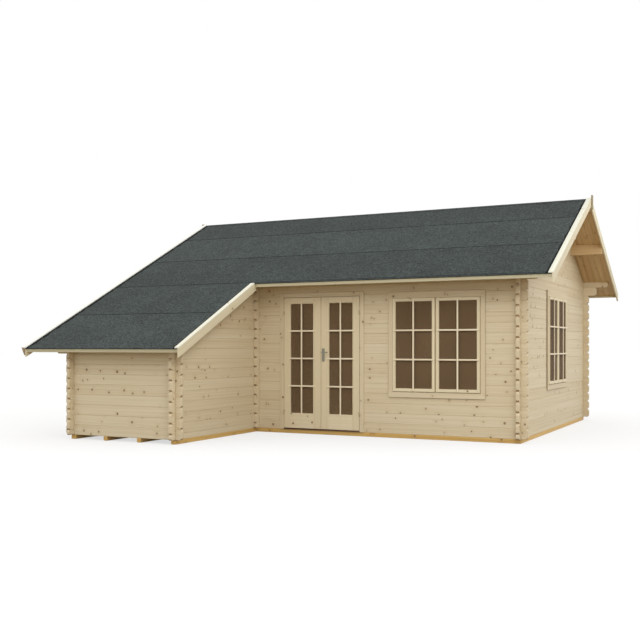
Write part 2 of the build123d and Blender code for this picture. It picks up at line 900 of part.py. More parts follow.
def double_window(name, plane):
    """A two-sash window; the plane lies on the wall's outer face, at the middle of the sill."""
    opening_height = window_courses * log_height
    half_width = window_width * half_share
    inner_half = half_width - window_lining
    outer_half = half_width + window_side_overlap
    sill_top = window_sill_rise
    head_low = opening_height - window_head_drop
    casing_low = -window_side_overlap
    casing_high = opening_height + window_head_overlap
    low_left = (Align.MIN, Align.MIN)
    sash_width = inner_half - window_mullion * half_share - sash_gap * 2
    sash_height = head_low - sill_top - sash_gap * 2
    lights = (-inner_half + sash_gap, window_mullion * half_share + sash_gap)
    light_width = sash_width - sash_frame * 2
    light_height = sash_height - sash_frame * 2
    sash_low = sill_top + sash_gap
    sash_back = casing_thickness + sash_proud - sash_thickness
    glass_low = sash_back + (sash_thickness - glass_thickness) * half_share

    with BuildPart() as frame:
        for face in (seat_clearance, -log_thickness - seat_clearance - casing_thickness):
            with BuildSketch(plane.offset(face)):
                with Locations((-outer_half, casing_low)):
                    Rectangle(outer_half * 2, casing_high - casing_low, align=low_left)
                with Locations((-inner_half, sill_top)):
                    Rectangle(
                        inner_half * 2, head_low - sill_top, align=low_left, mode=Mode.SUBTRACT
                    )
            extrude(amount=casing_thickness)
        with BuildSketch(plane.offset(-log_thickness - seat_clearance)):
            with Locations((-half_width + seat_clearance, seat_clearance)):
                Rectangle(
                    (half_width - seat_clearance) * 2,
                    opening_height - seat_clearance * 2,
                    align=low_left,
                )
            with Locations((-inner_half, sill_top)):
                Rectangle(
                    inner_half * 2, head_low - sill_top, align=low_left, mode=Mode.SUBTRACT
                )
        extrude(amount=log_thickness + seat_clearance * 2)
        with BuildSketch(plane.offset(-log_thickness)):
            with Locations((0, sill_top)):
                Rectangle(window_mullion, head_low - sill_top, align=(Align.CENTER, Align.MIN))
        extrude(amount=log_thickness + casing_thickness)
    save(frame.part, f"{name}_window_frame")

    with BuildPart() as sashes:
        with BuildSketch(plane.offset(sash_back)):
            for left in lights:
                with Locations((left, sash_low)):
                    Rectangle(sash_width, sash_height, align=low_left)
                with Locations((left + sash_frame, sash_low + sash_frame)):
                    Rectangle(light_width, light_height, align=low_left, mode=Mode.SUBTRACT)
        extrude(amount=sash_thickness)
        with BuildSketch(plane.offset(glass_low - glass_clearance)):
            groove = glass_edge + glass_clearance
            for left in lights:
                with Locations((left + sash_frame - groove, sash_low + sash_frame - groove)):
                    Rectangle(
                        light_width + groove * 2, light_height + groove * 2, align=low_left
                    )
        extrude(amount=glass_thickness + glass_clearance * 2, mode=Mode.SUBTRACT)
    save(sashes.part, f"{name}_window_sashes")

    with BuildPart() as panes:
        with BuildSketch(plane.offset(glass_low)):
            for left in lights:
                with Locations(
                    (left + sash_frame - glass_edge, sash_low + sash_frame - glass_edge)
                ):
                    Rectangle(
                        light_width + glass_edge * 2,
                        light_height + glass_edge * 2,
                        align=low_left,
                    )
        extrude(amount=glass_thickness)
    save(panes.part, f"{name}_window_glass")


front_sill = base_height + courses_under_window * log_height
side_sill = front_sill + half_log
front_window_x = window_left + window_width * half_share
double_window(
    "front", Plane((front_window_x, front_y, front_sill), x_dir=(1, 0, 0), z_dir=(0, -1, 0))
)
double_window(
    "side", Plane((right_x, side_window_middle, side_sill), x_dir=(0, 1, 0), z_dir=(1, 0, 0))
)
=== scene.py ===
"""Looks of a log cabin with a low side store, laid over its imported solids."""

import math
import random
from collections import namedtuple

import bmesh
import bpy
from bpy.props import FloatProperty, FloatVectorProperty, IntProperty, PointerProperty
from mathutils import Matrix, Vector


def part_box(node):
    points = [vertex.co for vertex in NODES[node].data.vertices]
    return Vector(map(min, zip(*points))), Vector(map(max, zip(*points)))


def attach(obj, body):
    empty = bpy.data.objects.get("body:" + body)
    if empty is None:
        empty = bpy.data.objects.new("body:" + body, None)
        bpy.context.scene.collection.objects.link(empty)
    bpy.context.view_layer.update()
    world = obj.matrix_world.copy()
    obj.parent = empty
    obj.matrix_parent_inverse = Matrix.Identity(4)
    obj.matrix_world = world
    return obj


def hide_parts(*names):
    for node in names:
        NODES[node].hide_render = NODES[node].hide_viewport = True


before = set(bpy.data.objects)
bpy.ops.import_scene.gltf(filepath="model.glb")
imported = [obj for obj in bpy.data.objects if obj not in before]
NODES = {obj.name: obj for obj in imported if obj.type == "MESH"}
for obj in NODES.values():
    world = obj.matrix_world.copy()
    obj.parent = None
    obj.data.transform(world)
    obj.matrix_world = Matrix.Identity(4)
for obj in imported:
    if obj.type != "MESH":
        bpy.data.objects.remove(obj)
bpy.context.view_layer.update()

bl_info = {
    "name": "Log cabin looks",
    "version": (1, 0, 0),
    "blender": (4, 5, 0),
    "location": "View3D > Sidebar > Cabin",
    "description": "Dresses the solids of a log cabin with logs, boards, felt, glass and ironmongery",
    "category": "Object",
}

LOG_WALLS = (
    "annex_front_wall",
    "annex_right_wall",
    "back_wall",
    "front_wall_below_window",
    "front_wall_left",
    "front_wall_middle",
    "front_wall_right",
    "front_wall_top",
    "inner_corner_log_ends",
    "left_wall",
    "right_gable",
    "right_wall_back",
    "right_wall_below_window",
    "right_wall_front",
)
DOOR_SIDES = {"left": "left_leaf", "right": "right_leaf"}
WINDOW_SIDES = {
    "front": (Vector((1, 0, 0)), Vector((0, 0, 1)), Vector((0, -1, 0))),
    "side": (Vector((0, 1, 0)), Vector((0, 0, 1)), Vector((1, 0, 0))),
}
# Edges up to this length keep their sharp corners.
LEAST_EDGE = 0.012
# Places closer together than this count as one.
NEAR = 0.01

Wood = namedtuple("Wood", "use pale deep streaks spread knots roughness")
WOODS = {
    "spruce": Wood("logs", (223, 209, 179), (207, 187, 150), 0.55, 0.36, 0.5, 0.58),
    "joinery": Wood("door leaves", (232, 218, 186), (216, 198, 161), 0.5, 0.4, 0.7, 0.5),
    "sash": Wood("sashes", (234, 222, 191), (219, 203, 166), 0.5, 0.35, 0.1, 0.5),
    "bars": Wood("glazing bars", (240, 228, 202), (226, 208, 174), 0.4, 0.3, 0.0, 0.5),
    "trim": Wood("cap strips", (224, 223, 207), (213, 209, 188), 0.5, 0.4, 0.2, 0.58),
    # Same trim as the other cap strips, painted paler as a painted highlight on the left caps.
    "highlit_trim": Wood("left cap strips", (231, 231, 225), (226, 225, 216), 0.5, 0.4, 0.0, 0.58),
    "fascia": Wood("eave fascias", (224, 218, 188), (214, 204, 170), 0.5, 0.4, 0.0, 0.58),
    "verge": Wood("verge boards", (224, 214, 184), (209, 194, 160), 0.5, 0.4, 0.3, 0.58),
    "lining": Wood("roof and floor boards", (217, 187, 139), (191, 156, 107), 0.6, 0.7, 0.5, 0.58),
    "treated": Wood("base beams", (222, 184, 110), (186, 144, 74), 0.6, 0.4, 0.25, 0.58),
    "apex": Wood("apex strips", (170, 158, 130), (138, 124, 96), 0.6, 0.3, 0.0, 0.58),
    "hardwood": Wood("threshold", (112, 78, 50), (70, 46, 30), 0.7, 0.3, 0.0, 0.42),
}


def linear(red, green, blue):
    """Scene-linear colour of a display colour given as 0 to 255."""
    shares = [value / 255 for value in (red, green, blue)]
    return tuple(s / 12.92 if s <= 0.04045 else ((s + 0.055) / 1.055) ** 2.4 for s in shares)


def length_setting(name, description, default):
    """A length that a user may change."""
    return FloatProperty(name=name, description=description, default=default, min=0.0, unit="LENGTH")


def colour_setting(name, description, display):
    """A colour that a user may change, given as a display colour."""
    return FloatVectorProperty(
        name=name, description=description, default=linear(*display), min=0, max=1, subtype="COLOR"
    )


def place_setting(name, description, default):
    """A place that a user may change."""
    return FloatVectorProperty(
        name=name, description=description, default=default, subtype="TRANSLATION", unit="LENGTH"
    )


def strength_setting(name, description, default):
    """A lamp's strength that a user may change."""
    return FloatProperty(name=name, description=description, default=default, min=0)


class CabinSizes(bpy.types.PropertyGroup):
    """Sizes of the details that the solids leave out."""

    log_edge: length_setting("Log edge", "Chamfer along the edges of each log", 0.004)
    board_edge: length_setting("Board edge", "Chamfer along the edges of planed boards", 0.0025)
    joinery_edge: length_setting("Joinery edge", "Chamfer on door and window members", 0.002)
    steel_edge: length_setting("Steel edge", "Chamfer on the handle plates", 0.0008)
    roof_board: length_setting("Roof board", "Cover width of one roof board", 0.096)
    floor_board: length_setting("Floor board", "Cover width of one floor board", 0.096)
    board_joint: length_setting("Board joint", "Gap between neighbouring boards", 0.0015)
    felt_first: length_setting("First strip", "Height of the lowest felt strip", 1.08)
    felt_strip: length_setting("Felt strip", "Height of the other felt strips", 1.0)
    felt_lap: length_setting("Felt lap", "Overlap of one felt strip on the next", 0.08)
    felt_sheet: length_setting("Felt sheet", "Thickness of one sheet of felt", 0.0024)
    seam_width: length_setting("Seam width", "Width of the bitumen along a felt seam", 0.014)
    felt_fold: length_setting("Felt fold", "Reach of the ridge felt down each slope", 0.05)
    felt_edge: length_setting("Felt edge", "Width of the bitumen along the felt's edges", 0.018)
    # Dark bitumen strips by the verges, widened as painted shade where the felt meets them.
    cap_bitumen_shade: length_setting("Cap bead", "Width of the bitumen along a cap strip", 0.034)
    verge_bead: length_setting("Verge bead", "Width of the bitumen along the left verge", 0.055)
    cap_width: length_setting("Cap width", "Width of the left verge's cap strip", 0.062)
    cap_thickness: length_setting("Cap thickness", "Thickness of the left verge's cap strip", 0.015)
    cap_setback: length_setting("Cap setback", "Gap from the felt's foot to the left cap's end", 0.012)
    verge_face: length_setting("Verge face", "Thickness of the left verge's outer board", 0.02)
    verge_depth: length_setting("Verge depth", "Depth of the left verge's outer board", 0.1)
    verge_joint: length_setting("Verge joint", "Gap behind the left verge's outer board", 0.0002)
    cap_least: length_setting("Least cap", "Least width of a verge's cap strip", 0.04)
    apex_width: length_setting("Apex width", "Width of the strip over a gable's apex", 0.055)
    apex_thickness: length_setting("Apex thickness", "Thickness of the strip over an apex", 0.022)
    apex_height: length_setting("Apex height", "Length of the strip over a gable's apex", 0.2)
    apex_rise: length_setting("Apex rise", "Rise of the apex strip above the ridge", 0.03)
    bar_width: length_setting("Bar width", "Width of a glazing bar", 0.022)
    bar_depth: length_setting("Bar depth", "Depth of a glazing bar", 0.01)
    bar_lap: length_setting("Bar lap", "Overlap of the bars on the members round a pane", 0.028)
    bar_inset: length_setting("Bar inset", "Depth of the level bars behind the upright ones", 0.0006)
    glass_edge: length_setting("Glass edge", "Depth of the groove that holds a pane", 0.008)
    bead: length_setting("Glazing bead", "Width of the bead round a pane", 0.005)
    bead_setback: length_setting("Bead setback", "Depth of a bead behind the members' faces", 0.004)
    casing: length_setting("Casing", "Thickness of the boards round an opening", 0.018)
    casing_gap: length_setting("Casing gap", "Gap between a window's outer casing and the logs", 0.009)
    sash_groove: length_setting("Sash groove", "Groove between a sash and the casing", 0.004)
    sill_gap: length_setting("Sill gap", "Gap between a window's sashes and its sill board", 0.008)
    sash_gap: length_setting("Sash gap", "Gap between a sash and the lining", 0.0005)
    lining: length_setting("Lining", "Thickness of a window's lining", 0.0196)
    door_bars: IntProperty(name="Door bars", description="Level bars in a door leaf", default=3, min=0)
    window_bars: IntProperty(
        name="Window bars", description="Level bars in a window sash", default=2, min=0
    )


class CabinColours(bpy.types.PropertyGroup):
    """Colours of the cabin's finishes, with two colours for each wood of the table."""

    # The knot colour also paints the shade on the downward faces of cut log ends.
    knot: colour_setting("Knot", "Knots in the spruce", (146, 106, 70))
    felt_pale: colour_setting("Pale felt", "Light mineral grains of the felt", (65, 77, 74))
    felt_deep: colour_setting("Deep felt", "Dark mineral grains of the felt", (12, 16, 14))
    # Also the dark strips by the verges, widened there as painted shade.
    bitumen: colour_setting("Bitumen", "Bitumen along the felt's seams", (20, 23, 22))
    # Brown of the panes, painted as the shaded room seen behind the glass.
    glass: colour_setting("Glass", "Shade of the window glass", (117, 96, 72))
    steel: colour_setting("Steel", "Satin steel of the handle", (164, 161, 146))
    zinc: colour_setting("Zinc", "Yellow zinc on the hinges", (206, 188, 150))


def wood_settings():
    """Two colours for each wood, by the name of the setting."""
    settings = {}
    for name, wood in WOODS.items():
        early, late = f"Early wood of the {wood.use}", f"Late wood of the {wood.use}"
        settings[f"{name}_pale"] = colour_setting(f"Pale {name}", early, wood.pale)
        settings[f"{name}_deep"] = colour_setting(f"Deep {name}", late, wood.deep)
    return settings


CabinColours.__annotations__.update(wood_settings())


class CabinStage(bpy.types.PropertyGroup):
    """Camera, floor and light round the cabin."""

    eye: place_setting("Eye", "Place of the camera", (5.5818, -12.4824, 1.2088))
    heading: FloatProperty(
        name="Heading",
        description="Turn of the level camera from straight ahead",
        default=math.radians(26.39),
        subtype="ANGLE",
    )
    lens: FloatProperty(name="Lens", description="Focal length in millimetres", default=51.35, min=1)
    rise: FloatProperty(name="Rise", description="Upward shift of the lens", default=0.0419)
    dome: strength_setting("Dome", "Strength of the even light", 1.11)
    sun: strength_setting("Sun", "Strength of the soft sun", 0.05)
    overhead: strength_setting("Overhead", "Strength of the top light", 0.4)
    key: strength_setting("Key", "Power of the lamp before the front wall", 170)
    key_size: length_setting("Key size", "Side of the lamp before the front wall", 3.0)
    key_place: place_setting("Key place", "Place of the lamp before the front wall", (6.5, -8.0, 6.0))
    key_aim: place_setting("Key aim", "Place that the front lamp shines at", (0.9, -1.2, 1.2))
    side: strength_setting("Side", "Power of the lamp beside the gable", 11)
    side_size: length_setting("Side size", "Side of the lamp beside the gable", 1.6)
    side_place: place_setting("Side place", "Place of the lamp beside the gable", (5.0, 1.2, 2.9))
    side_aim: place_setting("Side aim", "Place that the gable's lamp shines at", (2.8, 0.9, 2.5))
    floor_size: length_setting("Floor size", "Side of the square floor", 160.0)
    floor_shown: colour_setting("Floor shown", "Floor as the camera sees it", (236, 236, 236))
    floor_glow: colour_setting("Floor glow", "Floor as it lights the walls", (140, 130, 112))


class Wire:
    """A socket that takes part in sums, and the tree that it belongs to."""

    def __init__(self, tree, socket=None):
        self.tree = tree
        self.socket = socket

    def node(self, kind, settings=None, sockets=None, out=0):
        """Add a node: its settings first, then values and links by socket name or place."""
        node = self.tree.nodes.new(kind)
        for name, value in (settings or {}).items():
            setattr(node, name, value)
        for name, value in (sockets or {}).items():
            if isinstance(value, Wire):
                self.tree.links.new(value.socket, node.inputs[name])
            else:
                node.inputs[name].default_value = value
        return Wire(self.tree, node.outputs[out])

    def sum(self, operation, first, second=0.0):
        """One step of arithmetic on numbers."""
        return self.node("ShaderNodeMath", {"operation": operation}, {0: first, 1: second})

    def __add__(self, other):
        return self.sum("ADD", self, other)

    def __radd__(self, other):
        return self.sum("ADD", other, self)

    def __sub__(self, other):
        return self.sum("SUBTRACT", self, other)

    def __rsub__(self, other):
        return self.sum("SUBTRACT", other, self)

    def __mul__(self, other):
        return self.sum("MULTIPLY", self, other)

    def __rmul__(self, other):
        return self.sum("MULTIPLY", other, self)

    def __truediv__(self, other):
        return self.sum("DIVIDE", self, other)

    def __rtruediv__(self, other):
        return self.sum("DIVIDE", other, self)

    def __gt__(self, other):
        return self.sum("GREATER_THAN", self, other)

    def __abs__(self):
        return self.sum("ABSOLUTE", self)

    def attribute(self, name, out="Fac"):
        """A value that the mesh carries."""
        return self.node("ShaderNodeAttribute", {"attribute_name": name}, out=out)

    def vector(self, x, y, z):
        """Three numbers as a vector."""
        return self.node("ShaderNodeCombineXYZ", sockets={0: x, 1: y, 2: z})

    def split(self):
        """The three numbers of a vector."""
        node = self.tree.nodes.new("ShaderNodeSeparateXYZ")
        self.tree.links.new(self.socket, node.inputs[0])
        return [Wire(self.tree, output) for output in node.outputs]

    def noise(self, scale=1.0, detail=2.0, rough=0.5):
        """Soft noise at this vector."""
        return self.node(
            "ShaderNodeTexNoise",
            sockets={"Vector": self, "Scale": scale, "Detail": detail, "Roughness": rough},
        )

    def ramp(self, low, high, first=0.0, last=1.0):
        """Smooth step from first to last while this number goes from low to high."""
        return self.node(
            "ShaderNodeMapRange",
            {"interpolation_type": "SMOOTHSTEP"},
            {0: self, 1: low, 2: high, 3: first, 4: last},
        )

    def mix(self, first, second):
        """Two colours mixed by this number."""
        return self.node("ShaderNodeMix", {"data_type": "RGBA"}, {0: self, 6: first, 7: second}, 2)


def rgba(colour):
    """Four channels of a three-channel colour."""
    return (*colour, 1.0)


def blank_finish(name):
    """A new material with a bare shader: the material, a wire and the shader."""
    material = bpy.data.materials.new(f"{name}_finish")
    material.use_nodes = True
    shader = next(n for n in material.node_tree.nodes if n.type == "BSDF_PRINCIPLED")
    return material, Wire(material.node_tree), shader


def feed(shader, **wires):
    """Link wires to the sockets of a shader."""
    for name, wire in wires.items():
        wire.tree.links.new(wire.socket, shader.inputs[name.replace("_", " ")])


def bump(height, strength, distance):
    """Normal of a surface that a height raises."""
    return height.node(
        "ShaderNodeBump", sockets={"Strength": strength, "Distance": distance, "Height": height}
    )


def timber(name, colours):
    """Sawn or planed wood: grain along the piece, knots in clusters, rings on the ends, and painted
    shade on the downward faces of the ends.
    """
    material, wire, shader = blank_finish(name)
    wood = WOODS[name]
    pale, deep = getattr(colours, f"{name}_pale"), getattr(colours, f"{name}_deep")
    knot = deep if name == "hardwood" else colours.knot
    tone = wire.attribute("tone")
    end = wire.attribute("end")
    # Downward faces of cut ends, darkened towards the knot colour as painted shade.
    under = wire.attribute("under")
    along, up, through = wire.attribute("grain", "Vector").split()
    face = up + through * 0.8
    knot_scale = 6.0
    spot = {"Vector": wire.vector(along, face, 0.0), "Scale": knot_scale, "Randomness": 1.0}
    flat = {"voronoi_dimensions": "2D"}
    reach = wire.node("ShaderNodeTexVoronoi", flat, spot, "Distance") / knot_scale
    lot = wire.node("ShaderNodeTexVoronoi", flat, spot, "Color").split()
    crowd = wire.vector(along * 0.7, tone * 53.0, 0.0).noise(1.0, 0.0).ramp(0.4, 0.62, 0.15, 1.5)
    radius = (lot[0] * 0.013 + 0.013) * (lot[1] > 1.0 - crowd * wood.knots)
    mark = reach.ramp(radius, radius * 0.35) * (lot[2] * 0.65 + 0.35)
    heart = reach.ramp(radius * 0.75, radius * 0.3)
    halo = reach.ramp(radius * 4.0 + 0.001, radius)
    bend = wire.vector(along * 0.7, face * 6.0, tone * 31.0).noise(1.0, 1.0) - 0.5
    flow = face + bend * 0.03 + halo * 0.012
    ring = wire.vector(along * 0.45, flow * 52.0, tone * 17.0).noise(1.0, 2.0)
    fibre = wire.vector(along * 9.0, face * 430.0, tone * 7.0).noise(1.0, 2.0)
    shade = ring.ramp(0.3, 0.72) * wood.streaks + (fibre - 0.5) * 0.25
    shade = shade + (tone - 0.5) * wood.spread + halo * 0.2
    side = (shade + 0.1).mix(rgba(pale), rgba(deep))
    dark_knot = rgba([value * 0.55 for value in knot])
    side = mark.mix(side, heart.mix(rgba(knot), dark_knot))
    pith_up = up + (tone - 0.5) * 0.09
    pith_through = through + 0.035
    distance = wire.sum("SQRT", pith_up * pith_up + pith_through * pith_through)
    ring_width = 0.0045
    wobble = wire.vector(up * 30.0, through * 30.0, tone * 13.0).noise(1.0, 1.0)
    rings = wire.sum("SINE", distance * (2 * math.pi / ring_width) + wobble * 4.0) * 0.5 + 0.5
    end_pale = rgba([value * 1.04 for value in pale])
    end_deep = rgba([value * 0.94 for value in deep])
    cut = (rings * 0.8 + fibre * 0.2).mix(end_pale, end_deep)
    # The base colour darkens the downward faces of cut ends towards the knot colour as painted shade.
    feed(
        shader,
        Base_Color=(under * 0.7).mix(end.mix(side, cut), rgba(knot)),
        Roughness=fibre * 0.18 + (wood.roughness - 0.09) - mark * 0.1,
        Normal=bump(ring * 0.5 + fibre * 0.5 - mark * 0.6 + rings * end * 0.4, 0.3, 0.0008),
    )
    return material


def felt_finish(colours):
    """Mineral felt: grains, patches and a slight wave."""
    material, wire, shader = blank_finish("felt")
    place = wire.node("ShaderNodeTexCoord", out="Object")
    patch = place.noise(1.7, 3.0, 0.6)
    stain = place.noise(9.0, 3.0, 0.6)
    fleck = place.noise(34.0, 2.0, 0.7)
    speck = place.noise(88.0, 1.0, 0.5)
    grain = place.noise(650.0, 1.0, 0.6)
    tone = wire.attribute("tone")
    mottle = (patch - 0.5) * 0.5 + (stain - 0.5) * 0.5 + (fleck - 0.5) * 2.2 + (speck - 0.5) * 2.2
    shade = mottle + (grain - 0.5) * 1.0 + (tone - 0.5) * 0.16 + 0.42
    feed(
        shader,
        Base_Color=shade.mix(rgba(colours.felt_deep), rgba(colours.felt_pale)),
        Roughness=grain * 0.12 + 0.82,
        Normal=bump(grain + patch * 3.0, 0.35, 0.0015),
    )
    return material


def bitumen_finish(colours):
    """Dark bitumen pressed out along a seam, also laid wide by the verges as painted shade."""
    material, wire, shader = blank_finish("bitumen")
    place = wire.node("ShaderNodeTexCoord", out="Object")
    blob = place.noise(60.0, 2.0)
    soft = rgba([value * 1.7 for value in colours.bitumen])
    feed(
        shader,
        Base_Color=blob.mix(rgba(colours.bitumen), soft),
        Roughness=blob * 0.1 + 0.85,
        Normal=bump(blob, 0.4, 0.002),
    )
    shader.inputs["Specular IOR Level"].default_value = 0.1
    return material


def glass_finish(colours):
    """Pane painted brown as the shaded room behind it, paler and greyer in soft patches as painted
    reflection, and a little see-through.
    """
    material, wire, shader = blank_finish("glass")
    place = wire.node("ShaderNodeTexCoord", out="Object")
    # Soft patches where the pane is painted paler and greyer as reflection, and is less see-through.
    reflection_patches = place.noise(2.2, 3.0)
    film = place.noise(40.0, 2.0)
    reflected_glass = rgba([value * 1.35 + 0.004 for value in colours.glass])
    feed(
        shader,
        Base_Color=reflection_patches.mix(rgba(colours.glass), reflected_glass),
        Roughness=film * 0.05 + 0.03,
        Alpha=reflection_patches * 0.12 + 0.6,
    )
    shader.inputs["IOR"].default_value = 1.03
    return material


def metal_finish(name, colour):
    """Satin metal, brushed along its height."""
    material, wire, shader = blank_finish(name)
    place = wire.node("ShaderNodeTexCoord", out="Object").split()
    brush = wire.vector(place[0] * 2200.0, place[1] * 2200.0, place[2] * 35.0).noise(1.0, 2.0)
    smear = wire.vector(place[0] * 30.0, place[1] * 30.0, place[2] * 30.0).noise(1.0, 2.0)
    dim = rgba([value * 0.72 for value in colour])
    feed(
        shader,
        Base_Color=(brush * 0.6 + smear * 0.4).mix(dim, rgba(colour)),
        Roughness=brush * 0.16 + smear * 0.1 + 0.24,
        Normal=bump(brush, 0.12, 0.0002),
    )
    shader.inputs["Metallic"].default_value = 1.0
    return material


def finish(name):
    """The cabin's material of that name, made when it is first asked for."""
    ready = bpy.data.materials.get(f"{name}_finish")
    if ready:
        return ready
    colours = bpy.context.scene.cabin_colours
    if name in WOODS:
        return timber(name, colours)
    if name in ("steel", "zinc"):
        return metal_finish(name, getattr(colours, name))
    makers = {"felt": felt_finish, "bitumen": bitumen_finish, "glass": glass_finish}
    return makers[name](colours)


def roof_axes():
    """Up-slope, ridge-wise and outward directions of the two slopes, and the ridge point."""
    axes = {}
    for side in ("front", "back"):
        mesh = NODES[f"roof_boards_{side}"].data
        broad = max(mesh.polygons, key=lambda polygon: polygon.area).normal.copy()
        normal = broad if broad.z > 0 else -broad
        across = Vector((1, 0, 0)) if side == "front" else Vector((-1, 0, 0))
        axes[side] = (across, normal.cross(across).normalized(), normal.normalized())
    ridge = Vector((0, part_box("roof_boards_front")[1].y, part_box("purlins")[1].z))
    return axes, ridge


ROOF_AXES, RIDGE = roof_axes()
GRAIN_AXES = [
    (Vector((1, 0, 0)), Vector((0, 0, 1)), Vector((0, 1, 0))),
    (Vector((0, 1, 0)), Vector((0, 0, 1)), Vector((1, 0, 0))),
    (Vector((0, 0, 1)), Vector((1, 0, 0)), Vector((0, 1, 0))),
] + [(slope, normal, across) for across, slope, normal in ROOF_AXES.values()]


def loose_parts(bm):
    """Lists of the vertices that hang together."""
    seen = set()
    parts = []
    for start in bm.verts:
        if start in seen:
            continue
        seen.add(start)
        part = [start]
        for vert in part:
            for edge in vert.link_edges:
                other = edge.other_vert(vert)
                if other not in seen:
                    seen.add(other)
                    part.append(other)
        parts.append(part)
    return parts


def write_grain(bm, seed):
    """Give each loose part its grain direction, its tone, its cut ends and their downward faces, which
    the wood finish darkens as painted shade.
    """
    grain = bm.verts.layers.float_vector.new("grain")
    tone = bm.verts.layers.float.new("tone")
    end = bm.faces.layers.float.new("end")
    under = bm.faces.layers.float.new("under")
    chance = random.Random(seed)
    for part in loose_parts(bm):
        spans = []
        for axes in GRAIN_AXES:
            reach = [vert.co.dot(axes[0]) for vert in part]
            spans.append(max(reach) - min(reach))
        axes = GRAIN_AXES[spans.index(max(spans))]
        middle = sum((vert.co for vert in part), Vector()) / len(part)
        shift = chance.uniform(-40, 40)
        shade = chance.random()
        faces = set()
        for vert in part:
            offset = vert.co - middle
            vert[grain] = (vert.co.dot(axes[0]) + shift, offset.dot(axes[1]), offset.dot(axes[2]))
            vert[tone] = shade
            faces.update(vert.link_faces)
        for face in faces:
            lean = abs(face.normal.dot(axes[0]))
            face[end] = 1.0 if lean > 0.6 else 0.0
            # Downward faces of the cut ends, which the wood finish paints in shade.
            face[under] = 1.0 if lean > 0.4 and face.normal.z < -0.4 else 0.0


def chamfer(bm, width, least=0.0):
    """Chamfer the outward edges that are longer than the least length."""
    edges = [
        edge
        for edge in bm.edges
        if edge.is_manifold and edge.calc_length() > least and edge.calc_face_angle_signed() > 0.4
    ]
    bmesh.ops.bevel(
        bm, geom=edges, offset=width, offset_type="OFFSET", segments=1, profile=0.5, affect="EDGES",
        clamp_overlap=False,
    )


def solid_copy(node):
    """The solid's mesh, merged and cleared of flat edges."""
    bm = bmesh.new()
    bm.from_mesh(NODES[node].data)
    bmesh.ops.remove_doubles(bm, verts=bm.verts, dist=1e-5)
    bmesh.ops.dissolve_limit(bm, angle_limit=math.radians(0.5), verts=bm.verts, edges=bm.edges)
    return bm


def piece_from(bm, name, material, body, nodes):
    """A finished piece on its body, standing for the named solids."""
    mesh = bpy.data.meshes.new(name)
    bm.to_mesh(mesh)
    bm.free()
    place_piece(mesh, name, material, body, nodes)


def place_piece(mesh, name, material, body, nodes):
    """Put a mesh into the scene as a piece of the cabin."""
    if not mesh.polygons:
        raise RuntimeError(f"{name} has no faces")
    if not mesh.materials:
        mesh.materials.append(finish(material))
    piece = bpy.data.objects.new(name, mesh)
    bpy.context.collection.objects.link(piece)
    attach(piece, body)
    if nodes:
        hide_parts(*nodes)


def dress_solid(node, edge, material):
    """Replace a fixed solid by its own shape with chamfered edges and wood grain."""
    bm = solid_copy(node)
    chamfer(bm, edge, LEAST_EDGE)
    write_grain(bm, node)
    piece_from(bm, f"{node}_dressed", material, "cabin", [node])


def paint(node, material):
    """Give a finish to a solid that keeps its own shape."""
    slots = NODES[node].data.materials
    slots.clear()
    slots.append(finish(material))


def board(bm, low, high):
    """Add one square board between two corners."""
    middle = (Vector(low) + Vector(high)) / 2
    size = Vector(high) - Vector(low)
    place = Matrix.Translation(middle) @ Matrix.Diagonal((*size, 1))
    bmesh.ops.create_cube(bm, size=1, matrix=place)


def loft(bm, rows):
    """Add a closed bar: each row of vertices is one corner of its section, from end to end."""
    last = len(rows[0]) - 1
    for first, second in zip(rows, rows[1:] + rows[:1]):
        for k in range(last):
            bm.faces.new((first[k], first[k + 1], second[k + 1], second[k]))
    for k in (0, last):
        bm.faces.new([row[k] for row in rows])


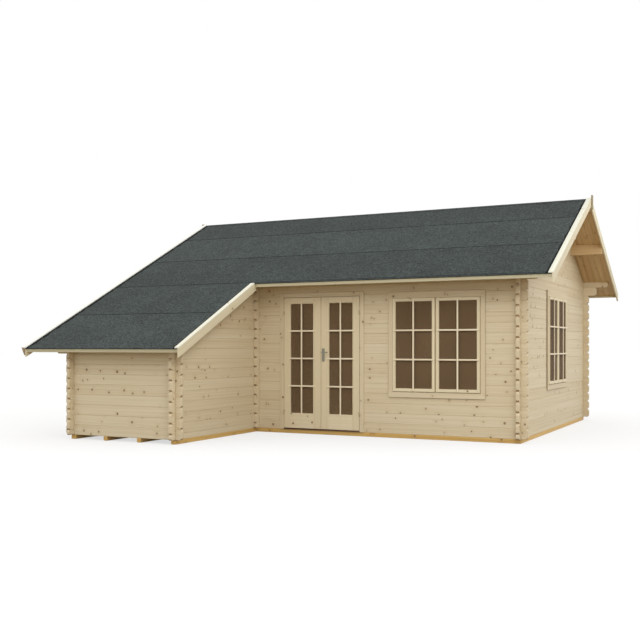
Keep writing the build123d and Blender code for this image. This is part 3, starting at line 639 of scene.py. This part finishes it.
def row_tree():
    """Geometry nodes for a row of chamfered boards along Y, one pitch apart along X."""
    ready = bpy.data.node_groups.get("board_row")
    if ready:
        return ready
    tree = bpy.data.node_groups.new("board_row", "GeometryNodeTree")
    kinds = {
        "Count": "NodeSocketInt",
        "Pitch": "NodeSocketFloat",
        "Width": "NodeSocketFloat",
        "Thickness": "NodeSocketFloat",
        "Length": "NodeSocketFloat",
        "Edge": "NodeSocketFloat",
        "Seed": "NodeSocketInt",
        "Finish": "NodeSocketMaterial",
    }
    for name, kind in kinds.items():
        tree.interface.new_socket(name, in_out="INPUT", socket_type=kind)
    tree.interface.new_socket("Boards", in_out="OUTPUT", socket_type="NodeSocketGeometry")
    wire = Wire(tree)
    given = tree.nodes.new("NodeGroupInput")
    value = {name: Wire(tree, given.outputs[name]) for name in kinds}

    def store(boards, name, kind, domain, content):
        """Keep a value on the boards under a name."""
        return wire.node(
            "GeometryNodeStoreNamedAttribute",
            {"data_type": kind, "domain": domain},
            {"Geometry": boards, "Name": name, "Value": content},
        )

    line = wire.node(
        "GeometryNodeCurvePrimitiveLine", sockets={"End": wire.vector(0.0, value["Length"], 0.0)}
    )
    upright = wire.node("GeometryNodeSetCurveNormal", {"mode": "Z_UP"}, {"Curve": line})
    section = wire.node(
        "GeometryNodeCurvePrimitiveQuadrilateral",
        sockets={"Width": value["Width"], "Height": value["Thickness"]},
    )
    eased = wire.node(
        "GeometryNodeFilletCurve",
        {"mode": "POLY"},
        {"Curve": section, "Count": 1, "Radius": value["Edge"]},
    )
    plank = wire.node(
        "GeometryNodeCurveToMesh", sockets={"Curve": upright, "Profile Curve": eased, "Fill Caps": True}
    )
    points = wire.node(
        "GeometryNodeMeshLine",
        {"mode": "OFFSET"},
        {"Count": value["Count"], "Offset": wire.vector(value["Pitch"], 0.0, 0.0)},
    )
    planks = wire.node("GeometryNodeInstanceOnPoints", sockets={"Points": points, "Instance": plank})
    chance = wire.node(
        "FunctionNodeRandomValue", {"data_type": "FLOAT"}, {"Seed": value["Seed"]}, out=1
    )
    toned = store(planks, "tone", "FLOAT", "INSTANCE", chance)
    solid = wire.node("GeometryNodeRealizeInstances", sockets={"Geometry": toned})
    tone = wire.node("GeometryNodeInputNamedAttribute", {"data_type": "FLOAT"}, {"Name": "tone"})
    x, y, z = wire.node("GeometryNodeInputPosition").split()
    grained = store(solid, "grain", "FLOAT_VECTOR", "POINT", wire.vector(y + tone * 70.0, x, z))
    facing = wire.node("GeometryNodeInputNormal").split()[1]
    ended = store(grained, "end", "FLOAT", "FACE", abs(facing) > 0.8)
    dressed = wire.node(
        "GeometryNodeSetMaterial", sockets={"Geometry": ended, "Material": value["Finish"]}
    )
    result = tree.nodes.new("NodeGroupOutput")
    tree.links.new(dressed.socket, result.inputs["Boards"])
    return tree


def board_row(count, pitch, width, thickness, length, edge, place, material, seed):
    """Mesh of a row of boards, moved to its place."""
    tree = row_tree()
    holder = bpy.data.objects.new("row_holder", bpy.data.meshes.new("row_holder"))
    bpy.context.collection.objects.link(holder)
    modifier = holder.modifiers.new("row", "NODES")
    modifier.node_group = tree
    values = {
        "Count": count,
        "Pitch": pitch,
        "Width": width,
        "Thickness": thickness,
        "Length": length,
        "Edge": edge,
        "Seed": seed,
        "Finish": finish(material),
    }
    for item in tree.interface.items_tree:
        if item.in_out == "INPUT":
            modifier[item.identifier] = values[item.name]
    graph = bpy.context.evaluated_depsgraph_get()
    graph.update()
    mesh = bpy.data.meshes.new_from_object(holder.evaluated_get(graph))
    bpy.data.objects.remove(holder)
    mesh.transform(place)
    return mesh


def joined(meshes, name):
    """One mesh from several that carry the same attributes."""
    if len(meshes) == 1:
        return meshes[0]
    objects = []
    for mesh in meshes:
        part = bpy.data.objects.new(name, mesh)
        bpy.context.collection.objects.link(part)
        objects.append(part)
    with bpy.context.temp_override(active_object=objects[0], selected_editable_objects=objects):
        bpy.ops.object.join()
    mesh = objects[0].data
    bpy.data.objects.remove(objects[0])
    return mesh


def axes_matrix(x_axis, y_axis, z_axis, origin):
    """Matrix that takes local axes to the cabin's frame."""
    matrix = Matrix((x_axis, y_axis, z_axis)).transposed().to_4x4()
    matrix.translation = origin
    return matrix


def slope_point(side, across, up, out):
    """Place on a roof slope: along the ridge, up from the ridge (negative is down), off the purlins."""
    x_axis, y_axis, z_axis = ROOF_AXES[side]
    return RIDGE + x_axis * across + y_axis * up + z_axis * out


def slope_matrix(side, across, up, out):
    """Matrix with Y up the slope and Z off it, at a place on the slope."""
    return axes_matrix(*ROOF_AXES[side], slope_point(side, across, up, out))


def slope_extent(node, side):
    """Box of a roof solid in the slope's own directions, and the notch of the front slope."""
    x_axis, y_axis, z_axis = ROOF_AXES[side]
    spots = []
    for vert in NODES[node].data.vertices:
        offset = vert.co - RIDGE
        spots.append((offset.dot(x_axis), offset.dot(y_axis), offset.dot(z_axis)))
    low = [min(spot[k] for spot in spots) for k in range(3)]
    high = [max(spot[k] for spot in spots) for k in range(3)]
    main_end = min(spot[1] for spot in spots if spot[0] > high[0] - NEAR)
    store_right = max((spot[0] for spot in spots if spot[1] < main_end - NEAR), default=high[0])
    return low, high, main_end, store_right


def even_rows(start, end, cover):
    """How many boards fill a width, and their exact pitch."""
    count = max(1, round((end - start) / cover))
    return count, (end - start) / count


class CABIN_OT_logs(bpy.types.Operator):
    """Round off each log of the walls and give it grain, knots and end rings"""

    bl_idname = "cabin.logs"
    bl_label = "Dress the logs"

    def execute(self, context):
        for node in LOG_WALLS:
            dress_solid(node, context.scene.cabin_sizes.log_edge, "spruce")
        return {"FINISHED"}


class CABIN_OT_base(bpy.types.Operator):
    """Dress the base beams and joists, and lay the floor boards"""

    bl_idname = "cabin.base"
    bl_label = "Lay the base and floor"

    def execute(self, context):
        sizes = context.scene.cabin_sizes
        dress_solid("base_beams", sizes.board_edge, "treated")
        dress_solid("floor_joists", sizes.board_edge, "treated")
        low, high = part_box("floor_boards")
        verts = [vert.co for vert in NODES["floor_boards"].data.vertices]
        room_front = min(co.y for co in verts if co.x > high.x - NEAR)
        store_right = max(co.x for co in verts if co.y < low.y + NEAR)
        rows = []
        zones = ((low.x, store_right, low.y), (store_right, high.x, room_front))
        for seed, (left, right, front) in enumerate(zones):
            count, pitch = even_rows(left, right, sizes.floor_board)
            place = Matrix.Translation((left + pitch / 2, front, (low.z + high.z) / 2))
            rows.append(
                board_row(
                    count, pitch, pitch - sizes.board_joint / 3, high.z - low.z, high.y - front,
                    sizes.board_edge * 0.6, place, "lining", seed,
                )
            )
        mesh = joined(rows, "floor_planks")
        place_piece(mesh, "floor_planks", "lining", "cabin", ["floor_boards"])
        return {"FINISHED"}


class CABIN_OT_roof_boards(bpy.types.Operator):
    """Lay the roof boards down both slopes and dress the purlins"""

    bl_idname = "cabin.roof_boards"
    bl_label = "Lay the roof boards"

    def execute(self, context):
        sizes = context.scene.cabin_sizes
        dress_solid("purlins", sizes.board_edge, "lining")
        for side in ("front", "back"):
            node = f"roof_boards_{side}"
            low, high, main_end, store_right = slope_extent(node, side)
            thickness = high[2] - low[2]
            zones = [(low[0], high[0], main_end)]
            if side == "front":
                zones = [(low[0], store_right, low[1]), (store_right, high[0], main_end)]
            rows = []
            for seed, (left, right, foot) in enumerate(zones):
                count, pitch = even_rows(left, right, sizes.roof_board)
                place = slope_matrix(side, left + pitch / 2, foot, thickness / 2)
                rows.append(
                    board_row(
                        count, pitch, pitch - sizes.board_joint, thickness, -foot,
                        sizes.board_edge, place, "lining", 11 + seed,
                    )
                )
            mesh = joined(rows, f"roof_planks_{side}")
            place_piece(mesh, f"roof_planks_{side}", "lining", "cabin", [node])
        return {"FINISHED"}


class CABIN_OT_felt(bpy.types.Operator):
    """Lay overlapping strips of felt up both slopes, with bitumen along the seams"""

    bl_idname = "cabin.felt"
    bl_label = "Lay the felt"

    def execute(self, context):
        sizes = context.scene.cabin_sizes
        for side in ("front", "back"):
            node = f"roof_felt_{side}"
            low, high, main_end, store_right = slope_extent(node, side)
            deck = low[2]
            zones = [(low[0], high[0], main_end, 0.0)]
            if side == "front":
                zones.append((low[0], store_right, low[1], main_end))
            least_strip = 0.3
            seams = [low[1]]
            step = sizes.felt_first if side == "front" else sizes.felt_strip
            while seams[-1] + step < -least_strip:
                seams.append(seams[-1] + step)
                step = sizes.felt_strip
            sheet = bmesh.new()
            lines = bmesh.new()
            for foot, head in zip(seams, seams[1:] + [0.0]):
                for left, right, *zone in zones:
                    self.strip(sheet, sizes, side, deck, (left, right), (foot, head), zone)
                    if zone[0] + NEAR < foot < zone[1]:
                        seam = ((left, foot), (right, foot), sizes.seam_width)
                        self.bead(lines, sizes, side, deck, *seam)
            self.edging(lines, sizes, side, deck, zones)
            bmesh.ops.recalc_face_normals(sheet, faces=sheet.faces)
            write_grain(sheet, node)
            piece_from(sheet, f"felt_strips_{side}", "felt", "cabin", [node])
            bmesh.ops.recalc_face_normals(lines, faces=lines.faces)
            piece_from(lines, f"felt_seams_{side}", "bitumen", "cabin", [])
        self.ridge_fold(sizes, low[2], (low[0], high[0]))
        return {"FINISHED"}

    @staticmethod
    def ridge_fold(sizes, deck, reach):
        """A narrow strip of felt folded over the ridge, in short lengths."""
        bm = bmesh.new()
        count = 12
        low_rows, top_rows = [[], [], []], [[], [], []]
        for k in range(count + 1):
            x = reach[0] + (reach[1] - reach[0]) * k / count
            for rows, sheets in ((low_rows, 1.1), (top_rows, 2.3)):
                out = deck + sizes.felt_sheet * sheets
                front = slope_point("front", x, -sizes.felt_fold, out)
                apex = RIDGE + Vector((x, 0, out / ROOF_AXES["front"][2].z))
                back = slope_point("back", -x, -sizes.felt_fold, out)
                for row, spot in zip(rows, (front, apex, back)):
                    row.append(bm.verts.new(spot))
        loft(bm, low_rows + top_rows[::-1])
        bmesh.ops.recalc_face_normals(bm, faces=bm.faces)
        write_grain(bm, "ridge fold")
        piece_from(bm, "felt_ridge_fold", "felt", "cabin", [])

    @staticmethod
    def strip(bm, sizes, side, deck, width, reach, zone):
        """One strip within one part of the slope."""
        foot = max(reach[0], zone[0])
        head = min(reach[1] + (sizes.felt_lap if reach[1] < 0 else 0.0), zone[1])
        if head - foot < sizes.felt_sheet / 2:
            return
        lift = sizes.felt_sheet * 0.6
        span = reach[1] + sizes.felt_lap - reach[0]
        low_foot, low_head = (deck + lift * (1 - (place - reach[0]) / span) for place in (foot, head))
        top_foot, top_head = low_foot + sizes.felt_sheet, low_head + sizes.felt_sheet
        wide = width[1] - width[0]
        count = max(1, round(wide / 0.5))
        across = [width[0] + wide * k / count for k in range(count + 1)]
        section = ((foot, low_foot), (foot, top_foot), (head, top_head), (head, low_head))
        loft(bm, [[bm.verts.new(slope_point(side, x, *corner)) for x in across] for corner in section])

    def edging(self, bm, sizes, side, deck, zones):
        """Bitumen along the ridge and the eaves, and along the open verge and the caps of the other
        verges, where it is widened as painted shade beside the verges.
        """
        facing = ROOF_AXES[side][0].x
        wide = sizes.felt_edge
        left, right, foot, head = zones[0]
        caps = [("right_verge_boards", foot, head)]
        open_verge = left if facing > 0 else right
        bottom = zones[-1][2]
        lines = [((left, head), (right, head), wide), ((right, foot), (zones[-1][1], foot), wide)]
        lines.append(((zones[-1][1], bottom), (left, bottom), wide))
        # The dark strips by the open verge and the caps are wide as painted shade where the felt meets
        # the verge.
        lines.append(((open_verge, bottom), (open_verge, head), sizes.verge_bead * facing))
        if len(zones) > 1:
            caps.append(("annex_verge_boards", bottom, foot))
        for node, low, high in caps:
            inner = min(vert.co.x for vert in NODES[node].data.vertices)
            across = (inner - RIDGE.x) * facing
            lines.append(((across, low), (across, high), -sizes.cap_bitumen_shade * facing))
        for start, end, spread in lines:
            if start != end:
                self.bead(bm, sizes, side, deck + sizes.felt_sheet * 0.75, start, end, spread)

    @staticmethod
    def bead(bm, sizes, side, deck, start, end, spread):
        """An uneven bead of bitumen spread to one side of a line on the felt."""
        chance = random.Random(f"{side}{start}{end}")
        along = Vector(end) - Vector(start)
        aside = Vector((along.y, -along.x)).normalized()
        count = max(1, round(along.length / 0.06))
        top = deck + sizes.felt_sheet * 1.45
        rows = [[], [], [], []]
        for k in range(count + 1):
            wide = spread * chance.uniform(0.65, 1.2)
            section = ((wide, -0.0012), (wide * 0.4, 0.0004), (0.0, -0.0004), (wide * 0.5, -0.003))
            for row, (off, out) in zip(rows, section):
                spot = Vector(start) + along * (k / count) + aside * off
                row.append(bm.verts.new(slope_point(side, *spot, top + out)))
        loft(bm, rows)


class CABIN_OT_roof_edges(bpy.types.Operator):
    """Dress the eave fascias and the boards and cap strips of the verges"""

    bl_idname = "cabin.roof_edges"
    bl_label = "Trim the roof edges"

    def execute(self, context):
        sizes = context.scene.cabin_sizes
        edge = sizes.board_edge
        dress_solid("eave_fascias", edge, "fascia")
        for node in ("annex_verge_boards", "left_verge_boards", "right_verge_boards"):
            self.verge(node, edge, sizes.cap_least)
        self.left_cap(sizes)
        self.apex_strips(sizes)
        return {"FINISHED"}

    @staticmethod
    def verge(node, edge, cap_least):
        """The boards of a verge, and its wider cap strips as a piece of their own."""
        nodes = [node]
        for caps in (False, True):
            bm = solid_copy(node)
            for part in loose_parts(bm):
                reach = [vert.co.x for vert in part]
                if (max(reach) - min(reach) > cap_least) != caps:
                    bmesh.ops.delete(bm, geom=part, context="VERTS")
            if not bm.verts:
                bm.free()
                continue
            chamfer(bm, edge, LEAST_EDGE)
            write_grain(bm, node)
            name = node.replace("boards", "caps" if caps else "faces")
            piece_from(bm, name, "trim" if caps else "verge", "cabin", nodes)
            nodes = []

    @staticmethod
    def left_cap(sizes):
        """Packing, face boards and cap strips outside the left verge, like those of the right verge."""
        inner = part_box("left_verge_boards")[0].x
        outer = inner - sizes.cap_width
        joint = outer + sizes.verge_face
        faces = bmesh.new()
        caps = bmesh.new()
        for side, axes in ROOF_AXES.items():
            low, high = slope_extent(f"roof_felt_{side}", side)[:2]
            foot = low[1] + sizes.cap_setback
            top = high[2]
            lean = abs(axes[2].y) / axes[2].z
            under = top - sizes.verge_depth
            boards = (
                (faces, joint + sizes.verge_joint, inner, under, top),
                (faces, outer, joint, under, top),
                (caps, outer, inner, top, top + sizes.cap_thickness),
            )
            for bm, x0, x1, out0, out1 in boards:
                rows = []
                for x, out in ((x0, out0), (x0, out1), (x1, out1), (x1, out0)):
                    ends = [slope_point(side, x * axes[0].x, up, out) for up in (foot, out * lean)]
                    rows.append([bm.verts.new(end) for end in ends])
                loft(bm, rows)
        # The left caps take the paler copy of the trim as a painted highlight.
        pieces = ((faces, "left_verge_packing", "verge"), (caps, "left_verge_caps", "highlit_trim"))
        for bm, name, material in pieces:
            bmesh.ops.recalc_face_normals(bm, faces=bm.faces)
            chamfer(bm, sizes.board_edge, LEAST_EDGE)
            write_grain(bm, name)
            piece_from(bm, name, material, "cabin", [])

    @staticmethod
    def apex_strips(sizes):
        """An upright strip over the joint of the verge boards at each gable."""
        top = max(vert.co.z for vert in NODES["right_verge_boards"].data.vertices) + sizes.apex_rise
        half = sizes.apex_width / 2
        bm = bmesh.new()
        for side in ("left", "right"):
            edges = [vert.co.x for vert in NODES[f"{side}_verge_boards"].data.vertices]
            out = max(edges) if side == "right" else min(edges) - sizes.cap_width - sizes.apex_thickness
            peak = top if side == "right" else top - sizes.apex_rise * 0.8
            low = (out, RIDGE.y - half, top - sizes.apex_height)
            board(bm, low, (out + sizes.apex_thickness, RIDGE.y + half, peak))
        chamfer(bm, sizes.board_edge)
        write_grain(bm, "apex strips")
        piece_from(bm, "apex_strips", "apex", "cabin", [])


def part_boxes(node, axes):
    """Boxes of a solid's loose parts along three axes, lowest first along the first axis."""
    bm = solid_copy(node)
    boxes = []
    for part in loose_parts(bm):
        low = [min(vert.co.dot(axis) for vert in part) for axis in axes]
        high = [max(vert.co.dot(axis) for vert in part) for axis in axes]
        boxes.append((low, high))
    bm.free()
    return sorted(boxes)


def board_ring(bm, outer, inner, back, front):
    """Two uprights and the two rails between them, round an inner rectangle, in wall axes."""
    (u0, v0), (u1, v1) = outer
    (a0, b0), (a1, b1) = inner
    board(bm, (u0, v0, back), (a0, v1, front))
    board(bm, (a1, v0, back), (u1, v1, front))
    board(bm, (a0, v0, back), (a1, b0, front))
    board(bm, (a0, b1, back), (a1, v1, front))


def inset(low, high, width):
    """Corners of a rectangle that lies inside another one by a width."""
    return (low[0] + width, low[1] + width), (high[0] - width, high[1] - width)


def glazed_frame(bm, box, pane, sizes):
    """Stiles, rails and glazing beads of a leaf or sash, in wall axes (along, up, out)."""
    back, front = box[0][2], box[1][2]
    light = inset(*pane, sizes.glass_edge)
    board_ring(bm, (box[0][:2], box[1][:2]), light, back, front)
    clear = inset(*light, sizes.bead)
    board_ring(bm, light, clear, pane[1][2], front - sizes.bead_setback)
    board_ring(bm, light, clear, back + sizes.bead_setback, pane[0][2])
    return light


def joinery_piece(bm, axes, name, seed, material, body, node):
    """Chamfer members drawn in wall axes and stand them in the cabin for a solid."""
    chamfer(bm, bpy.context.scene.cabin_sizes.joinery_edge)
    bm.transform(axes_matrix(*axes, Vector()))
    write_grain(bm, seed)
    piece_from(bm, name, material, body, [node])


def bar_lattice(light, levels, out, sizes, axes, seed):
    """Meshes of one upright bar and a row of level bars that lap over the members round a pane."""
    lap = sizes.bar_lap
    (u0, v0), (u1, v1) = light
    u_axis, v_axis, w_axis = axes
    half = sizes.bar_depth / 2
    pitch = (v1 - v0) / (levels + 1)
    shape = (sizes.bar_width, sizes.bar_depth)
    lower = u_axis * ((u0 + u1) / 2) + v_axis * (v0 - lap) + w_axis * (out + half)
    upright = board_row(
        1, 1.0, *shape, v1 - v0 + lap * 2, sizes.joinery_edge,
        axes_matrix(u_axis, v_axis, w_axis, lower), "bars", seed,
    )
    first = u_axis * (u0 - lap) + v_axis * (v0 + pitch) + w_axis * (out + half - sizes.bar_inset)
    level = board_row(
        levels, pitch, *shape, u1 - u0 + lap * 2, sizes.joinery_edge,
        axes_matrix(v_axis, u_axis, -w_axis, first), "bars", seed + 1,
    )
    return [upright, level]


class CABIN_OT_door(bpy.types.Operator):
    """Build the two glazed door leaves with their bars, and dress the door's frame"""

    bl_idname = "cabin.door"
    bl_label = "Hang the door"

    def execute(self, context):
        sizes = context.scene.cabin_sizes
        axes = WINDOW_SIDES["front"]
        for node in ("door_left_jamb", "door_right_jamb", "door_head"):
            dress_solid(node, sizes.joinery_edge, "spruce")
        dress_solid("door_threshold", sizes.joinery_edge, "hardwood")
        for seed, (side, body) in enumerate(DOOR_SIDES.items()):
            node = f"{side}_door_leaf"
            box = part_boxes(node, axes)[0]
            pane = part_boxes(f"{side}_door_glass", axes)[0]
            bm = bmesh.new()
            light = glazed_frame(bm, box, pane, sizes)
            joinery_piece(bm, axes, f"{side}_leaf_members", f"{side} leaf", "joinery", body, node)
            bars = bar_lattice(light, sizes.door_bars, box[1][2], sizes, axes, 21 + seed * 2)
            mesh = joined(bars, f"{side}_leaf_bars")
            place_piece(mesh, f"{side}_leaf_bars", "bars", body, [])
            paint(f"{side}_door_glass", "glass")
        return {"FINISHED"}


class CABIN_OT_windows(bpy.types.Operator):
    """Build the frames, sashes and bars of both windows"""

    bl_idname = "cabin.windows"
    bl_label = "Fit the windows"

    def execute(self, context):
        sizes = context.scene.cabin_sizes
        for name, axes in WINDOW_SIDES.items():
            node = f"{name}_window_sashes"
            sashes = part_boxes(node, axes)
            panes = part_boxes(f"{name}_window_glass", axes)
            self.surround(name, sashes, sizes, axes)
            bm = bmesh.new()
            bars = []
            for seed, (box, pane) in enumerate(zip(sashes, panes)):
                light = glazed_frame(bm, box, pane, sizes)
                bars += bar_lattice(light, sizes.window_bars, box[1][2], sizes, axes, 31 + seed * 2)
            joinery_piece(bm, axes, f"{name}_sash_members", f"{name} sashes", "sash", "cabin", node)
            mesh = joined(bars, f"{name}_window_bars")
            place_piece(mesh, f"{name}_window_bars", "bars", "cabin", [])
            paint(f"{name}_window_glass", "glass")
        return {"FINISHED"}

    @staticmethod
    def surround(name, sashes, sizes, axes):
        """Casings inside and out, the lining between them and the post between the sashes."""
        node = f"{name}_window_frame"
        (u0, v0, w0), (u1, v1, w1) = part_boxes(node, axes)[0]
        gap, groove, lining = sizes.sash_gap, sizes.sash_groove, sizes.lining
        a0, b0 = sashes[0][0][0] - gap, sashes[0][0][1] - gap
        a1, b1 = sashes[-1][1][0] + gap, sashes[-1][1][1] + gap
        sill, head = b0 - sizes.sill_gap, b1 + groove
        inner, deep = w0 + sizes.casing, w1 - sizes.casing
        outer = deep + sizes.casing_gap
        bm = bmesh.new()
        for low, high in ((outer, w1), (w0, inner)):
            board(bm, (u0, sill, low), (a0 - groove, head, high))
            board(bm, (a1 + groove, sill, low), (u1, head, high))
            board(bm, (u0, head, low), (u1, v1, high))
            board(bm, (u0, v0, low), (u1, sill, high))
        board(bm, (a0 - lining, b0, inner), (a0, b1, outer))
        board(bm, (a1, b0, inner), (a1 + lining, b1, outer))
        board(bm, (a0, b1, inner), (a1, b1 + lining, outer))
        board(bm, (a0, b0 - lining, inner), (a1, b0, deep))
        post = (sashes[0][1][0] + gap, sashes[1][0][0] - gap)
        board(bm, (post[0], b0, inner), (post[1], b1, deep))
        joinery_piece(bm, axes, f"{name}_surround", f"{name} surround", "spruce", "cabin", node)


class CABIN_OT_ironmongery(bpy.types.Operator):
    """Finish the handle in satin steel and the hinges in zinc"""

    bl_idname = "cabin.ironmongery"
    bl_label = "Fit the ironmongery"

    def execute(self, context):
        least = 0.004
        bm = solid_copy("door_handle_plates")
        chamfer(bm, context.scene.cabin_sizes.steel_edge, least)
        write_grain(bm, "plates")
        piece_from(bm, "handle_plates", "steel", "right_leaf", ["door_handle_plates"])
        for node in ("door_lever", "door_hinge_pins", "left_door_hinges", "right_door_hinges"):
            paint(node, "steel" if node == "door_lever" else "zinc")
        return {"FINISHED"}


class CABIN_OT_stage(bpy.types.Operator):
    """Set the camera, the pale floor and the soft light"""

    bl_idname = "cabin.stage"
    bl_label = "Set the stage"

    def execute(self, context):
        scene = context.scene
        stage = scene.cabin_stage
        scene.view_settings.view_transform = "Standard"
        eye = bpy.data.cameras.new("eye")
        eye.lens = stage.lens
        eye.sensor_width = 36
        eye.shift_y = stage.rise
        eye.clip_end = 400
        camera = bpy.data.objects.new("eye", eye)
        camera.location = stage.eye
        camera.rotation_euler = (math.radians(90), 0, stage.heading)
        context.collection.objects.link(camera)
        scene.camera = camera
        self.floor(context, stage)
        self.light(context, stage)
        return {"FINISHED"}

    @staticmethod
    def floor(context, stage):
        """A plain floor that is near white to the camera and keeps the shadow."""
        half = stage.floor_size / 2
        mesh = bpy.data.meshes.new("floor")
        corners = [(-half, -half, 0), (half, -half, 0), (half, half, 0), (-half, half, 0)]
        mesh.from_pydata(corners, [], [(0, 1, 2, 3)])
        material = bpy.data.materials.new("floor")
        material.use_nodes = True
        nodes = material.node_tree.nodes
        nodes.clear()
        wire = Wire(material.node_tree)
        direct = seen_directly(wire)
        white_share = 0.65
        colour = direct.mix(rgba(stage.floor_glow), rgba(stage.floor_shown))
        matt = wire.node("ShaderNodeBsdfDiffuse", sockets={"Color": colour})
        white = wire.node("ShaderNodeEmission", sockets={"Color": (1, 1, 1, 1), "Strength": 1.0})
        surface = wire.node("ShaderNodeMixShader", sockets={0: direct * white_share, 1: matt, 2: white})
        output = nodes.new("ShaderNodeOutputMaterial")
        material.node_tree.links.new(surface.socket, output.inputs["Surface"])
        mesh.materials.append(material)
        floor = bpy.data.objects.new("floor", mesh)
        context.collection.objects.link(floor)

    @staticmethod
    def light(context, stage):
        """An even dome that the camera sees as white, two wide suns and two lamp panels."""
        world = bpy.data.worlds.new("dome")
        world.use_nodes = True
        world.node_tree.nodes.clear()
        wire = Wire(world.node_tree)
        dome = wire.node(
            "ShaderNodeBackground", sockets={"Color": (1, 0.995, 0.985, 1), "Strength": stage.dome}
        )
        white = wire.node("ShaderNodeBackground", sockets={"Color": (1, 1, 1, 1), "Strength": 1.0})
        surface = wire.node("ShaderNodeMixShader", sockets={0: seen_directly(wire), 1: dome, 2: white})
        output = world.node_tree.nodes.new("ShaderNodeOutputWorld")
        world.node_tree.links.new(surface.socket, output.inputs["Surface"])
        context.scene.world = world
        suns = (
            (stage.sun, 60, Vector((0.95, -0.25, 0.35))),
            (stage.overhead, 110, Vector((0.0, 0.0, 1.0))),
        )
        for strength, spread, source in suns:
            lamp = bpy.data.lights.new("sun", "SUN")
            lamp.energy = strength
            lamp.angle = math.radians(spread)
            hung = bpy.data.objects.new("sun", lamp)
            hung.rotation_euler = source.to_track_quat("Z", "Y").to_euler()
            context.collection.objects.link(hung)
        panels = (
            (stage.key, stage.key_size, stage.key_place, stage.key_aim),
            (stage.side, stage.side_size, stage.side_place, stage.side_aim),
        )
        for power, size, place, aim in panels:
            lamp = bpy.data.lights.new("panel", "AREA")
            lamp.energy = power
            lamp.size = size
            hung = bpy.data.objects.new("panel", lamp)
            hung.location = place
            hung.rotation_euler = (Vector(place) - Vector(aim)).to_track_quat("Z", "Y").to_euler()
            hung.visible_camera = False
            context.collection.objects.link(hung)


def seen_directly(wire):
    """One for rays that show the backdrop itself: from the camera, in gloss or through glass."""
    path = wire.tree.nodes.new("ShaderNodeLightPath")
    camera, glossy, through = (
        Wire(wire.tree, path.outputs[name])
        for name in ("Is Camera Ray", "Is Glossy Ray", "Is Transmission Ray")
    )
    return wire.sum("MAXIMUM", wire.sum("MAXIMUM", camera, glossy), through)


OPERATORS = (
    CABIN_OT_logs,
    CABIN_OT_base,
    CABIN_OT_roof_boards,
    CABIN_OT_felt,
    CABIN_OT_roof_edges,
    CABIN_OT_door,
    CABIN_OT_windows,
    CABIN_OT_ironmongery,
    CABIN_OT_stage,
)


class CABIN_PT_panel(bpy.types.Panel):
    """Sizes, colours and building steps of the cabin"""

    bl_idname = "CABIN_PT_panel"
    bl_label = "Log cabin"
    bl_space_type = "VIEW_3D"
    bl_region_type = "UI"
    bl_category = "Cabin"

    def draw(self, context):
        layout = self.layout
        for operator in OPERATORS:
            layout.operator(operator.bl_idname)
        for group in (context.scene.cabin_sizes, context.scene.cabin_colours, context.scene.cabin_stage):
            box = layout.box()
            for name in group.__annotations__:
                box.prop(group, name)


GROUPS = {"cabin_sizes": CabinSizes, "cabin_colours": CabinColours, "cabin_stage": CabinStage}


def register():
    """Make the settings, the operators and the panel known."""
    for group in GROUPS.values():
        bpy.utils.register_class(group)
    for name, group in GROUPS.items():
        setattr(bpy.types.Scene, name, PointerProperty(type=group))
    for operator in OPERATORS:
        bpy.utils.register_class(operator)
    bpy.utils.register_class(CABIN_PT_panel)


def unregister():
    """Take everything back that register made known."""
    bpy.utils.unregister_class(CABIN_PT_panel)
    for operator in reversed(OPERATORS):
        bpy.utils.unregister_class(operator)
    for name in GROUPS:
        delattr(bpy.types.Scene, name)
    for group in reversed(list(GROUPS.values())):
        bpy.utils.unregister_class(group)


def main():
    """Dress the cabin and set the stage."""
    register()
    bpy.ops.cabin.logs()
    bpy.ops.cabin.base()
    bpy.ops.cabin.roof_boards()
    bpy.ops.cabin.felt()
    bpy.ops.cabin.roof_edges()
    bpy.ops.cabin.door()
    bpy.ops.cabin.windows()
    bpy.ops.cabin.ironmongery()
    bpy.ops.cabin.stage()


if __name__ == "__main__":
    main()
